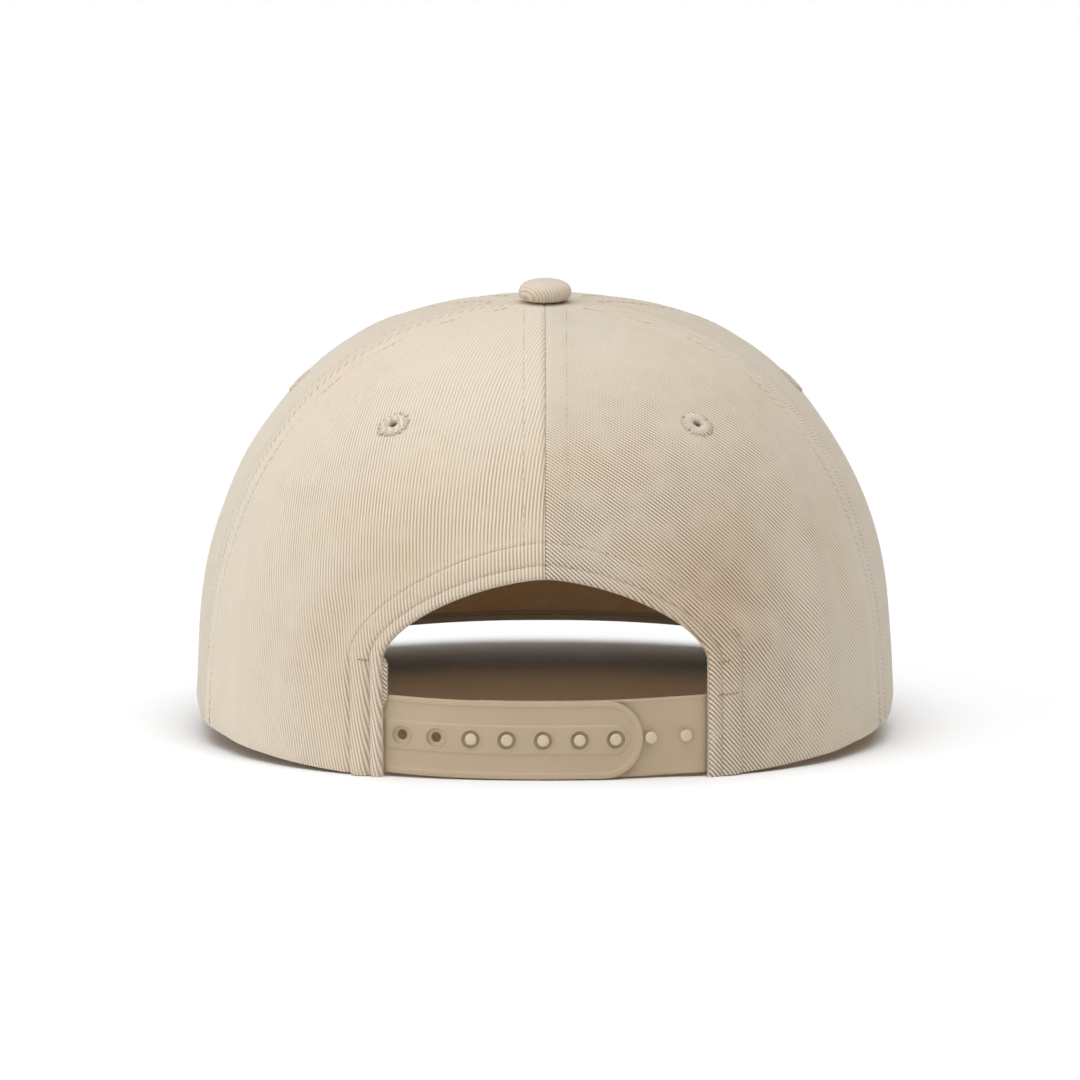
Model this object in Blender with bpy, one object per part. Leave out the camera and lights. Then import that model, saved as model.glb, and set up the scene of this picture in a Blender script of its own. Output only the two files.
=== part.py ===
"""Six-panel baseball cap with a curved visor and a snap strap, as separate sewn and moulded pieces.

The cap is drawn in its own frame: +X to the wearer's left, -Y towards the visor, +Z up from the
flat rim of the crown.  One empty then rolls it back until it stands on its rear rim and on the two
low sides of the visor, and puts the origin at the bottom centre of its box.  Lengths are in metres.
Angles round the crown are counted from the rear centre towards the wearer's left.
"""
import math

import bmesh
import bpy
import numpy as np
from mathutils import Matrix, Vector

GAP = 0.0003                       # clearance between pieces that lie against each other

# Crown surface
CROWN_HALF_WIDTH = 0.0908
CROWN_HALF_LENGTH = 0.0960
CROWN_HEIGHT = 0.1039
PLAN_POWER = 2.2                   # superellipse power of the outline seen from above
RISE_POWER = 2.38                  # superellipse powers of the profile: upwards, then outwards
SIDE_POWER = 2.46
FRONT_POWER = 2.6
REAR_POWER = 2.2
RIM_FLARE = 0.012                  # how much wider the rim is, and how fast that fades upwards
FLARE_REACH = 0.12

# Cloth of the crown
FABRIC = 0.0008
BUCKRAM = 0.0006
BUCKRAM_FOOT = 0.001               # height at which the buckram starts
BUCKRAM_TIP_RADIUS = 0.016         # radius at which it stops below the button
TAPE = 0.0008
TAPE_WIDTH = 0.0145
TAPE_FOOT = 0.002
SWEATBAND = 0.0014
SWEATBAND_HEIGHT = 0.032
SWEATBAND_END = 0.003              # the sweatband stops this far from the rear opening
REAR_SEAM = math.radians(69)
FRONT_SEAM = math.radians(121)
SEAMS = {
    "rear_centre": 0.0,
    "rear_left": REAR_SEAM,
    "front_left": FRONT_SEAM,
    "front_centre": math.pi,
    "front_right": -FRONT_SEAM,
    "rear_right": -REAR_SEAM,
}

# Rear opening
OPENING_HALF_WIDTH = 0.0405
OPENING_SIDE = 0.029               # height of the straight sides
OPENING_ARCH = 0.0208              # rise of the arch above them
ARCH_POWER = 1.62                  # superellipse power of the arch
OPENING_SIDE_SHARE = 0.2           # share of the outline's stations on each straight side
FACING = 0.0008
FACING_WIDTH = 0.010

# Eyelets, one in the middle of each panel
EYELET_RISE = 0.544
EYELET_BORE = 0.00125
EYELET_RADIUS = 0.0039
EYELET_BARREL = 0.0023
EYELET_FLANGE = 0.0006
EYELET_BEVEL = 0.0003
EYELET_CLEAR = 0.0005              # from its flat flanges to the curved cloth between them

# Button
BUTTON_RADIUS = 0.00685
BUTTON_HEIGHT = 0.0056
BUTTON_WAIST = 0.0017              # height of its widest ring
BUTTON_CLOTH = 0.0005
BUTTON_SHELL = 0.0005
BUTTON_CURL = 0.0022               # how far the cloth turns in underneath
POST_RADIUS = 0.0016
POST_FLANGE = 0.0006
WASHER = 0.0008
WASHER_RADIUS = 0.0055

# Visor
VISOR_LENGTH = 0.070
VISOR_HALF_ANGLE = math.radians(62)
VISOR_FULLNESS = 0.55
VISOR_SPREAD = 0.55                # how far its ribs turn outwards, as a share of their angle
VISOR_SLOPE = math.radians(8.4)
VISOR_SIDE_SLOPE = math.radians(30.5)
VISOR_TUCK = 0.001                 # how far it reaches in under the crown's rim
VISOR_CLOTH = 0.0007
VISOR_BOARD = 0.0015
VISOR_EDGE = 0.0009                # radius of its outer edge
VISOR_STEPS = 24
VISOR_END_WIDTH = 0.005            # the visor's cut ends are this wide

# Snap straps
STRAP_HEIGHT = 0.0194
STRAP_FOOT = 0.0010                # height of the straps above the rim's plane
STRAP = 0.0012
STRAP_CLEAR = 0.0005               # from the edge of the opening to a strap's hinge
STRAP_LAP = 0.010                  # length over which the peg strap drops behind the other
TAB = 0.0006
TAB_LENGTH = 0.011
SNAP_PITCH = 0.0091
SNAP_OFFSET = 0.0005
HOLE_PLACES = range(-2, 5)
PEG_PLACES = range(-4, 3)
STRAP_END = 0.0071                 # from the last snap to the strap's round end
STRAP_END_TURN = 0.47 * math.pi    # how far round the end its columns go, just short of its tip
SNAP_HOLE = 0.0013
SNAP_RECESS = 0.0022
SNAP_RECESS_DEPTH = 0.0006
PEG_STEM = 0.00105
PEG_HEAD = 0.00155
PEG_HEAD_HEIGHT = 0.00055
PEG_ROOT = 0.0004

# Depths under the crown's outer surface
LINING_DEPTH = FABRIC + GAP
TAPE_DEPTH = LINING_DEPTH + BUCKRAM + GAP
SWEATBAND_DEPTH = TAPE_DEPTH + TAPE + GAP
TAB_DEPTH = LINING_DEPTH + FACING + GAP
STRAP_DEPTH = LINING_DEPTH + FACING + GAP / 3
PEG_STRAP_DEPTH = STRAP_DEPTH + STRAP + GAP

MATERIALS = {
    "twill": ((0.70, 0.62, 0.50), 0.9, 0.0),
    "buckram": ((0.75, 0.74, 0.70), 0.9, 0.0),
    "tape": ((0.62, 0.54, 0.42), 0.85, 0.0),
    "thread": ((0.66, 0.57, 0.44), 0.7, 0.0),
    "board": ((0.16, 0.16, 0.16), 0.5, 0.0),
    "strap": ((0.58, 0.50, 0.36), 0.4, 0.0),
    "metal": ((0.62, 0.62, 0.62), 0.35, 1.0),
}


def clear_scene():
    for old in list(bpy.data.objects):
        bpy.data.objects.remove(old, do_unlink=True)


def material(name):
    """The named material, made the first time it is asked for."""
    found = bpy.data.materials.get(name)
    if found:
        return found
    colour, roughness, metallic = MATERIALS[name]
    made = bpy.data.materials.new(name)
    made.use_nodes = True
    shader = made.node_tree.nodes["Principled BSDF"]
    shader.inputs["Base Color"].default_value = (*colour, 1.0)
    shader.inputs["Roughness"].default_value = roughness
    shader.inputs["Metallic"].default_value = metallic
    return made


def add_piece(name, mesh, cap, finish, origin=Vector((0, 0, 0))):
    """Turns a bmesh drawn in the cap's frame into an object whose origin is at the given point."""
    bmesh.ops.recalc_face_normals(mesh, faces=mesh.faces)
    data = bpy.data.meshes.new(name)
    mesh.to_mesh(data)
    mesh.free()
    data.transform(Matrix.Translation(-origin))
    data.shade_smooth()
    data.set_sharp_from_angle(angle=math.radians(35))
    data.materials.append(material(finish))
    piece = bpy.data.objects.new(name, data)
    bpy.context.scene.collection.objects.link(piece)
    piece.parent = cap
    piece.location = origin
    return piece


def make_helper(piece):
    """Marks a cutter or a shape that is joined to another as no piece of its own."""
    piece.hide_render = True
    piece.display_type = "WIRE"
    return piece


def combine(piece, helper, operation):
    change = piece.modifiers.new(helper.name, "BOOLEAN")
    change.operation = operation
    change.solver = "EXACT"
    change.object = helper


# ---------------------------------------------------------------- crown surface

def rise_at(height):
    """Rise, from 0 at the rim to 1 at the top, of a height above the rim."""
    return math.asin((height / CROWN_HEIGHT) ** (0.5 * RISE_POWER)) / (0.5 * math.pi)


def rise_at_radius(radius):
    """Rise up to which no part of the crown has closed in to a radius."""
    power = min(SIDE_POWER, FRONT_POWER, REAR_POWER)
    half = min(CROWN_HALF_WIDTH, CROWN_HALF_LENGTH)
    return math.acos((radius / half) ** (0.5 * power)) / (0.5 * math.pi)


def crown_section(rise):
    """Height of the level section at a rise, and its half-axes to the sides, front and rear."""
    turn = 0.5 * math.pi * rise
    share = math.sin(turn) ** (2.0 / RISE_POWER)
    flare = 1.0 + RIM_FLARE * math.exp(-share / FLARE_REACH)
    side = CROWN_HALF_WIDTH * flare * math.cos(turn) ** (2.0 / SIDE_POWER)
    front = CROWN_HALF_LENGTH * flare * math.cos(turn) ** (2.0 / FRONT_POWER)
    rear = CROWN_HALF_LENGTH * flare * math.cos(turn) ** (2.0 / REAR_POWER)
    return CROWN_HEIGHT * share, side, front, rear


def outer_point(angle, rise):
    height, side, front, rear = crown_section(rise)
    across, along = math.sin(angle), math.cos(angle)
    length = front if along < 0 else rear
    total = abs(across / side) ** PLAN_POWER + abs(along / length) ** PLAN_POWER
    radius = total ** (-1.0 / PLAN_POWER)
    return Vector((radius * across, radius * along, height))


def crown_normal(angle, rise):
    """Outward normal of the crown; it is level at the rim, so that every layer ends in one plane."""
    step = 1e-4
    upwards = outer_point(angle, rise + step) - outer_point(angle, max(rise - step, 0.0))
    sideways = outer_point(angle + step, rise) - outer_point(angle - step, rise)
    normal = upwards.cross(sideways)
    if rise == 0:
        normal.z = 0
    return normal.normalized()


def crown_point(angle, rise, depth):
    return outer_point(angle, rise) - depth * crown_normal(angle, rise)


def rear_angle(x, rise):
    """Angle of the point on the crown's rear that lies a distance to the wearer's left."""
    _, side, _, rear = crown_section(rise)
    return math.atan2(x, rear * (1.0 - abs(x / side) ** PLAN_POWER) ** (1.0 / PLAN_POWER))


def rear_point(x, height, depth):
    rise = rise_at(height)
    return crown_point(rear_angle(x, rise), rise, depth)


def upright_frame(point, normal):
    """A frame at a point whose Z is the normal and whose Y is as near to up as it can be."""
    across = Vector((0, 0, 1)).cross(normal).normalized()
    upwards = normal.cross(across)
    axes = Matrix((across, upwards, normal)).transposed().to_4x4()
    return Matrix.Translation(point) @ axes


# ---------------------------------------------------------------- solids

def slab(place, columns, rows, outer, inner):
    """Closed sheet between two depths; place(across, up, depth) takes two shares from 0 to 1."""
    mesh = bmesh.new()
    layers = []
    for depth in (outer, inner):
        grid = [
            [mesh.verts.new(place(i / columns, j / rows, depth)) for j in range(rows + 1)]
            for i in range(columns + 1)
        ]
        layers.append(grid)
        for i in range(columns):
            for j in range(rows):
                mesh.faces.new((grid[i][j], grid[i + 1][j], grid[i + 1][j + 1], grid[i][j + 1]))
    edge = [(i, 0) for i in range(columns)]
    edge += [(columns, j) for j in range(rows)]
    edge += [(i, rows) for i in range(columns, 0, -1)]
    edge += [(0, j) for j in range(rows, 0, -1)]
    front, back = layers
    for (i, j), (k, m) in zip(edge, edge[1:] + edge[:1]):
        mesh.faces.new((front[i][j], front[k][m], back[k][m], back[i][j]))
    return mesh


def add_turned(mesh, profile, frame, steps, closed=False):
    """Adds the solid that a profile of (radius, height) points sweeps round the frame's Z."""
    points = [mesh.verts.new((radius, 0, height)) for radius, height in profile]
    pairs = list(zip(points, points[1:]))
    if closed:
        pairs.append((points[-1], points[0]))
    edges = [mesh.edges.new(pair) for pair in pairs]
    bmesh.ops.spin(mesh, geom=points + edges, cent=(0, 0, 0), axis=(0, 0, 1),
                   angle=math.tau, steps=steps, use_merge=True)
    fresh = [vertex for vertex in mesh.verts if not vertex.tag]
    bmesh.ops.remove_doubles(mesh, verts=fresh, dist=1e-6)
    fresh = [vertex for vertex in mesh.verts if not vertex.tag]
    bmesh.ops.transform(mesh, matrix=frame, verts=fresh)
    for vertex in fresh:
        vertex.tag = True


# ---------------------------------------------------------------- crown pieces

def gore(start, end, foot, top, outer, inner, columns, rows):
    """One six-sided share of the crown between two seams, clear of its neighbours."""
    def place(across, up, depth):
        rise = foot + up * (top - foot)
        clear = math.asin(0.5 * GAP / outer_point(start, rise).xy.length)
        angle = start + clear + across * (end - start - 2.0 * clear)
        return crown_point(angle, rise, depth)
    return slab(place, columns, rows, outer, inner)


def eyelet_frame(angle):
    return upright_frame(outer_point(angle, EYELET_RISE), crown_normal(angle, EYELET_RISE))


def eyelet_cutter(name, angle, cap):
    """The round hole through the cloth that an eyelet sits in."""
    mesh = bmesh.new()
    radius = EYELET_BARREL + GAP
    reach = 4.0 * TAPE_DEPTH
    add_turned(mesh, [(0, -reach), (radius, -reach), (radius, reach), (0, reach)],
               eyelet_frame(angle), 12)
    return make_helper(add_piece(name, mesh, cap, "thread"))


def eyelet(name, angle, stack, cap):
    """Sewn ring that grips both faces of the cloth, which is stack thick."""
    outside = EYELET_CLEAR
    inside = -stack - EYELET_CLEAR
    tip = EYELET_RADIUS - EYELET_BEVEL
    lip = EYELET_BORE + EYELET_BEVEL
    profile = [
        (EYELET_BORE, outside), (lip, outside + EYELET_FLANGE), (tip, outside + EYELET_FLANGE),
        (EYELET_RADIUS, outside), (EYELET_BARREL, outside), (EYELET_BARREL, inside),
        (EYELET_RADIUS, inside), (tip, inside - EYELET_FLANGE), (lip, inside - EYELET_FLANGE),
        (EYELET_BORE, inside),
    ]
    mesh = bmesh.new()
    add_turned(mesh, profile, eyelet_frame(angle), 12, closed=True)
    add_piece(name, mesh, cap, "thread")


def arch_point(along, grow):
    """(x, height) on the opening's outline, grown outwards, from its left foot at 0 to 1."""
    half = OPENING_HALF_WIDTH + grow
    if along < OPENING_SIDE_SHARE:
        return half, OPENING_SIDE * along / OPENING_SIDE_SHARE
    if along > 1.0 - OPENING_SIDE_SHARE:
        return -half, OPENING_SIDE * (1.0 - along) / OPENING_SIDE_SHARE
    turn = math.pi * (along - OPENING_SIDE_SHARE) / (1.0 - 2.0 * OPENING_SIDE_SHARE)
    across = math.copysign(abs(math.cos(turn)) ** (2.0 / ARCH_POWER), math.cos(turn))
    above = max(math.sin(turn), 0.0) ** (2.0 / ARCH_POWER)
    return half * across, OPENING_SIDE + (OPENING_ARCH + grow) * above


def arch_cutter(cap):
    """Prism through the rear of the crown in the shape of the opening."""
    steps = 40
    outline = [arch_point(i / steps, 0.0) for i in range(steps + 1)]
    below = -0.1 * OPENING_SIDE
    outline = [(outline[0][0], below), *outline[1:-1], (outline[-1][0], below)]
    mesh = bmesh.new()
    face = mesh.faces.new([mesh.verts.new((x, 0, height)) for x, height in outline])
    grown = bmesh.ops.extrude_face_region(mesh, geom=[face])["geom"]
    moved = [item for item in grown if isinstance(item, bmesh.types.BMVert)]
    bmesh.ops.translate(mesh, vec=(0, 2.0 * CROWN_HALF_LENGTH, 0), verts=moved)
    return make_helper(add_piece("arch_cutter", mesh, cap, "twill"))


def build_panels(cap):
    """Six panels and the eyelet in each, and the buckram behind the front two."""
    arch = arch_cutter(cap)
    tip = rise_at_radius(POST_RADIUS + GAP)
    spans = {"rear": (0.0, REAR_SEAM), "side": (REAR_SEAM, FRONT_SEAM), "front": (FRONT_SEAM, math.pi)}
    for side, sign in (("left", 1), ("right", -1)):
        for place, span in spans.items():
            start, end = sorted(sign * angle for angle in span)
            middle = 0.5 * (start + end)
            hole = eyelet_cutter(f"{place}_{side}_eyelet_cutter", middle, cap)
            cloth = add_piece(f"{place}_{side}_panel",
                              gore(start, end, 0.0, tip, 0.0, FABRIC, 12, 14), cap, "twill")
            combine(cloth, hole, "DIFFERENCE")
            stack = FABRIC
            if place == "rear":
                combine(cloth, arch, "DIFFERENCE")
            if place == "front":
                stack = LINING_DEPTH + BUCKRAM
                lining = gore(start, end, rise_at(BUCKRAM_FOOT), rise_at_radius(BUCKRAM_TIP_RADIUS),
                              LINING_DEPTH, LINING_DEPTH + BUCKRAM, 10, 12)
                combine(add_piece(f"front_{side}_buckram", lining, cap, "buckram"), hole, "DIFFERENCE")
            eyelet(f"{place}_{side}_eyelet", middle, stack, cap)


def build_tapes(cap):
    """Tape over each seam inside, narrowing where the six meet round the button's washer."""
    top = rise_at_radius(WASHER_RADIUS + 2.0 * GAP)
    narrowest = FRONT_SEAM - REAR_SEAM
    for name, seam in SEAMS.items():
        foot = rise_at(TAPE_FOOT)
        if name == "rear_centre":
            foot = rise_at(OPENING_SIDE + OPENING_ARCH + FACING_WIDTH + 2.0 * GAP)

        def place(across, up, depth):
            rise = foot + up * (top - foot)
            radius = outer_point(seam, rise).xy.length
            wide = math.atan(0.5 * TAPE_WIDTH / radius)
            tight = 0.5 * narrowest - math.asin(GAP / radius)
            return crown_point(seam + (2.0 * across - 1.0) * min(wide, tight), rise, depth)

        mesh = slab(place, 2, 14, TAPE_DEPTH, TAPE_DEPTH + TAPE)
        add_piece(f"{name}_seam_tape", mesh, cap, "tape")


def build_sweatband(cap):
    """Folded band round the inside of the rim, from one side of the rear opening to the other."""
    def place(across, up, depth):
        rise = rise_at(up * SWEATBAND_HEIGHT)
        start = rear_angle(OPENING_HALF_WIDTH + SWEATBAND_END, rise)
        return crown_point(start + across * (math.tau - 2.0 * start), rise, depth)
    mesh = slab(place, 48, 3, SWEATBAND_DEPTH, SWEATBAND_DEPTH + SWEATBAND)
    add_piece("sweatband", mesh, cap, "twill")


def build_facing(cap):
    """Bias strip behind the edge of the rear opening."""
    def place(across, up, depth):
        x, height = arch_point(across, up * FACING_WIDTH)
        return rear_point(x, height, depth)
    mesh = slab(place, 30, 2, LINING_DEPTH, LINING_DEPTH + FACING)
    add_piece("opening_facing", mesh, cap, "tape")


# ---------------------------------------------------------------- button

def dome(inset, steps=5):
    """Profile points of the button's dome, set in from its outside, from the top down."""
    radius = BUTTON_RADIUS - inset
    rise = BUTTON_HEIGHT - BUTTON_WAIST - inset
    turns = [0.5 * math.pi * i / steps for i in range(steps + 1)]
    return [(radius * math.sin(turn), BUTTON_WAIST + rise * math.cos(turn)) for turn in turns]


def build_button(cap):
    """Cloth-covered dome, its shell, the post that holds it and the washer inside the crown."""
    seat = Matrix.Translation((0, 0, CROWN_HEIGHT + GAP))
    inner = BUTTON_CLOTH
    curl = BUTTON_RADIUS - BUTTON_CURL
    cover = dome(0.0) + [
        (BUTTON_RADIUS - 0.3 * inner, 0.4 * BUTTON_WAIST), (BUTTON_RADIUS - 2.0 * inner, 0),
        (curl, 0), (curl, inner), (BUTTON_RADIUS - 2.5 * inner, inner),
    ] + dome(inner)[::-1]
    inset = inner + GAP
    shell = dome(inset) + dome(inset + BUTTON_SHELL)[::-1]
    plate = BUTTON_RADIUS - inset - BUTTON_SHELL - GAP
    floor = inner + GAP
    foot = -(FABRIC + 2.0 * GAP + WASHER + GAP)
    post = [(0, foot), (POST_RADIUS, foot), (POST_RADIUS, floor), (plate, floor),
            (plate, floor + POST_FLANGE), (0, floor + POST_FLANGE)]
    under = -(FABRIC + 2.0 * GAP)
    bore = POST_RADIUS + GAP
    washer = [(bore, under), (WASHER_RADIUS, under), (WASHER_RADIUS, under - WASHER),
              (bore, under - WASHER)]
    pieces = (
        ("button_cover", cover, "twill", False), ("button_shell", shell, "metal", False),
        ("button_post", post, "metal", False), ("button_washer", washer, "metal", True),
    )
    for name, profile, finish, closed in pieces:
        mesh = bmesh.new()
        add_turned(mesh, profile, seat, 16, closed)
        add_piece(name, mesh, cap, finish)


# ---------------------------------------------------------------- visor

def visor_width(turn):
    return VISOR_LENGTH * math.cos(0.5 * math.pi * turn / VISOR_HALF_ANGLE) ** VISOR_FULLNESS


def visor_point(turn, reach, level):
    """Point of the visor: turn from the front centre, reach from its inner edge, level down."""
    inner = crown_point(math.pi - turn, 0.0, VISOR_TUCK)
    share = (turn / VISOR_HALF_ANGLE) ** 2
    slope = VISOR_SLOPE + share * (VISOR_SIDE_SLOPE - VISOR_SLOPE)
    heading = VISOR_SPREAD * turn
    outwards = Vector((math.sin(heading), -math.cos(heading), -math.tan(slope)))
    return inner + reach * outwards - Vector((0, 0, GAP + level))


def visor_piece(name, section, finish, cap):
    """Sweeps a section across the visor; section(width) lists its (reach, level) corners."""
    end_share = (VISOR_END_WIDTH / VISOR_LENGTH) ** (1.0 / VISOR_FULLNESS)
    end_turn = VISOR_HALF_ANGLE * math.acos(end_share) / (0.5 * math.pi)
    mesh = bmesh.new()
    rings = []
    for step in range(-VISOR_STEPS, VISOR_STEPS + 1):
        turn = end_turn * math.sin(0.5 * math.pi * step / VISOR_STEPS)
        corners = section(visor_width(turn) + VISOR_TUCK)
        rings.append([mesh.verts.new(visor_point(turn, reach, level)) for reach, level in corners])
    count = len(rings[0])
    for before, after in zip(rings, rings[1:]):
        for i in range(count):
            k = (i + 1) % count
            mesh.faces.new((before[i], before[k], after[k], after[i]))
    mesh.faces.new(rings[0])
    mesh.faces.new(rings[-1])
    add_piece(name, mesh, cap, finish)


def build_visor(cap):
    """Stiff board between a top and an under cover, whose turned edges meet halfway down."""
    cloth = VISOR_CLOTH
    thick = 2.0 * (cloth + GAP) + VISOR_BOARD
    lip = 0.5 * (thick - GAP)

    def cover(width):
        return [(0, 0), (0.5 * width, 0), (width - VISOR_EDGE, 0), (width, VISOR_EDGE),
                (width, lip), (width - cloth, lip), (width - cloth, cloth),
                (0.5 * width, cloth), (0, cloth)]

    def under(width):
        return [(reach, thick - level) for reach, level in cover(width)]

    def board(width):
        end = width - cloth - GAP
        top, bottom = cloth + GAP, cloth + GAP + VISOR_BOARD
        return [(GAP, top), (0.5 * width, top), (end, top),
                (end, bottom), (0.5 * width, bottom), (GAP, bottom)]

    visor_piece("visor_top_cover", cover, "twill", cap)
    visor_piece("visor_under_cover", under, "twill", cap)
    visor_piece("visor_board", board, "board", cap)


# ---------------------------------------------------------------- snap straps

def strap_x(distance):
    """How far to the left a point is that lies a distance round the rear of the crown."""
    middle = STRAP_FOOT + 0.5 * STRAP_HEIGHT
    across = np.linspace(0.0, OPENING_HALF_WIDTH + 2.0 * TAB_LENGTH, 200)
    points = np.array([rear_point(x, middle, 0.0) for x in across])
    steps = np.linalg.norm(np.diff(points, axis=0), axis=1)
    lengths = np.concatenate([[0.0], np.cumsum(steps)])
    return math.copysign(float(np.interp(abs(distance), lengths, across)), distance)


def hinge_distance():
    """Distance round the rear of the crown from its centre to each strap's hinge."""
    low, high = 0.0, 2.0 * OPENING_HALF_WIDTH
    for _ in range(40):
        middle = 0.5 * (low + high)
        if strap_x(middle) < OPENING_HALF_WIDTH:
            low = middle
        else:
            high = middle
    return low - STRAP_CLEAR


def snap_distance(place):
    return SNAP_OFFSET + place * SNAP_PITCH


def strap_slab(root, end, depth_at):
    """Strap from its hinge to its round end; depth_at(distance) is the depth of its outer face."""
    half = 0.5 * STRAP_HEIGHT
    middle = STRAP_FOOT + half
    centre = end + math.copysign(half, root - end)
    straight, turns = 18, 6

    def place(across, up, depth):
        column = across * (straight + turns)
        share = min(column / straight, 1.0)
        turn = STRAP_END_TURN * max(column - straight, 0.0) / turns
        distance = root + share * (centre - root) + (end - centre) * math.sin(turn)
        height = middle + (2.0 * up - 1.0) * half * math.cos(turn)
        return rear_point(strap_x(distance), height, depth_at(distance) + depth)
    return slab(place, straight + turns, 2, 0.0, STRAP)


def snap_frame(place, depth):
    """Frame at a snap, on the strap's centre line, with Z outwards."""
    middle = STRAP_FOOT + 0.5 * STRAP_HEIGHT
    x = strap_x(snap_distance(place))
    rise = rise_at(middle)
    return upright_frame(rear_point(x, middle, depth), crown_normal(rear_angle(x, rise), rise))


def tab(root, cap, name):
    """The thin root of a strap, sewn between the facing and the sweatband."""
    start = root + math.copysign(GAP, root)
    end = root + math.copysign(TAB_LENGTH, root)

    def place(across, up, depth):
        height = STRAP_FOOT + up * STRAP_HEIGHT
        return rear_point(strap_x(start + across * (end - start)), height, depth)
    add_piece(name, slab(place, 5, 2, TAB_DEPTH, TAB_DEPTH + TAB), cap, "strap")


def hinge_point(root, depth):
    edge = root + math.copysign(0.5 * GAP, root)
    return rear_point(strap_x(edge), STRAP_FOOT + 0.5 * STRAP_HEIGHT, depth)


def build_hole_strap(cap):
    """The outer strap, from the wearer's left, with a stepped hole at each snap."""
    root = hinge_distance()
    end = snap_distance(min(HOLE_PLACES)) - STRAP_END
    mesh = strap_slab(root, end, lambda distance: STRAP_DEPTH)
    strap = add_piece("hole_strap", mesh, cap, "strap", hinge_point(root, STRAP_DEPTH))
    holes = bmesh.new()
    floor = -SNAP_RECESS_DEPTH
    profile = [(0, -2 * STRAP), (SNAP_HOLE, -2 * STRAP), (SNAP_HOLE, floor), (SNAP_RECESS, floor),
               (SNAP_RECESS, STRAP), (0, STRAP)]
    for place in HOLE_PLACES:
        add_turned(holes, profile, snap_frame(place, STRAP_DEPTH), 12)
    combine(strap, make_helper(add_piece("hole_cutter", holes, cap, "strap")), "DIFFERENCE")
    tab(root, cap, "hole_strap_tab")


def build_peg_strap(cap):
    """The inner strap, from the wearer's right, with a headed peg at each snap."""
    root = -hinge_distance()
    end = snap_distance(max(PEG_PLACES)) + STRAP_END

    def depth_at(distance):
        share = min((distance - root) / STRAP_LAP, 1.0)
        return STRAP_DEPTH + (PEG_STRAP_DEPTH - STRAP_DEPTH) * share * share * (3.0 - 2.0 * share)

    mesh = strap_slab(root, end, depth_at)
    strap = add_piece("peg_strap", mesh, cap, "strap", hinge_point(root, STRAP_DEPTH + STRAP))
    pegs = bmesh.new()
    neck = GAP + STRAP - SNAP_RECESS_DEPTH + GAP
    top = neck + PEG_HEAD_HEIGHT
    profile = [(0, -PEG_ROOT), (PEG_STEM, -PEG_ROOT), (PEG_STEM, neck), (PEG_HEAD, neck),
               (PEG_HEAD, top - PEG_HEAD_HEIGHT / 3), (PEG_STEM, top), (0, top)]
    for place in PEG_PLACES:
        add_turned(pegs, profile, snap_frame(place, depth_at(snap_distance(place))), 12)
    combine(strap, make_helper(add_piece("peg_shapes", pegs, cap, "strap")), "UNION")
    tab(root, cap, "peg_strap_tab")


# ---------------------------------------------------------------- standing

def cap_points(cap):
    """Every corner of every piece, in the cap's own frame."""
    bpy.context.view_layer.update()
    graph = bpy.context.evaluated_depsgraph_get()
    points = []
    for piece in cap.children:
        if piece.hide_render:
            continue
        solid = piece.evaluated_get(graph)
        place = cap.matrix_world.inverted() @ solid.matrix_world
        points += [place @ corner.co for corner in solid.to_mesh().vertices]
        solid.to_mesh_clear()
    return np.array(points)


def stand_up(cap):
    """Rolls the cap until its rear rim and its visor touch one level plane, and centres it."""
    points = cap_points(cap)
    front = points[:, 1] < 0

    def turned(tilt):
        y = points[:, 1] * math.cos(tilt) + points[:, 2] * math.sin(tilt)
        return y, points[:, 2] * math.cos(tilt) - points[:, 1] * math.sin(tilt)

    low, high = 0.0, math.radians(30)
    for _ in range(50):
        tilt = 0.5 * (low + high)
        _, z = turned(tilt)
        if z[front].min() < z[~front].min():
            low = tilt
        else:
            high = tilt
    y, z = turned(tilt)
    x = points[:, 0]
    cap.rotation_euler.x = -tilt
    cap.location = (-0.5 * (x.min() + x.max()), -0.5 * (y.min() + y.max()), -z.min())


def build():
    clear_scene()
    cap = bpy.data.objects.new("cap", None)
    bpy.context.scene.collection.objects.link(cap)
    build_panels(cap)
    build_tapes(cap)
    build_sweatband(cap)
    build_facing(cap)
    build_button(cap)
    build_visor(cap)
    build_hole_strap(cap)
    build_peg_strap(cap)
    stand_up(cap)


build()
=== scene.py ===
import math

import bmesh
import bpy
import numpy as np
from mathutils import Matrix, Vector, noise


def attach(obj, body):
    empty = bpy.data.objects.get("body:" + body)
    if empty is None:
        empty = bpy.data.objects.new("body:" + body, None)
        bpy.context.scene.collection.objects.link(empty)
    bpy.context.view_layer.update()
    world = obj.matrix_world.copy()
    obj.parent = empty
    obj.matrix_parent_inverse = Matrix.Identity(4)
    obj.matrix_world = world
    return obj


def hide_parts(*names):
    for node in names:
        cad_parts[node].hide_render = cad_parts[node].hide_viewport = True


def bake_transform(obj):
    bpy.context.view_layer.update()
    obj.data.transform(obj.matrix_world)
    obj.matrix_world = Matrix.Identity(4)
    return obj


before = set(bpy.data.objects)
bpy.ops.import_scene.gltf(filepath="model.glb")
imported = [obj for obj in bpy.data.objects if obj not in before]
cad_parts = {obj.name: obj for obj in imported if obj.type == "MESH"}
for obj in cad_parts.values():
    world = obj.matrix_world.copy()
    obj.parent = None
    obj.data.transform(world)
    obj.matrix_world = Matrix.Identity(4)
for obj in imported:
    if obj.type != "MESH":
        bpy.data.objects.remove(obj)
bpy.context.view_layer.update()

# Everything is drawn in the crown's own frame: +X to the wearer's left, -Y towards the visor, +Z up
# from the flat rim.  Angles are counted from the rear centre towards the wearer's left, and rise
# goes from 0 at the rim to 1 at the top.  Lengths are in metres.
CAP_TILT = math.radians(5.9276)
CAP_PLACE = (0.0, 0.036243, 0.009232)
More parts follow.
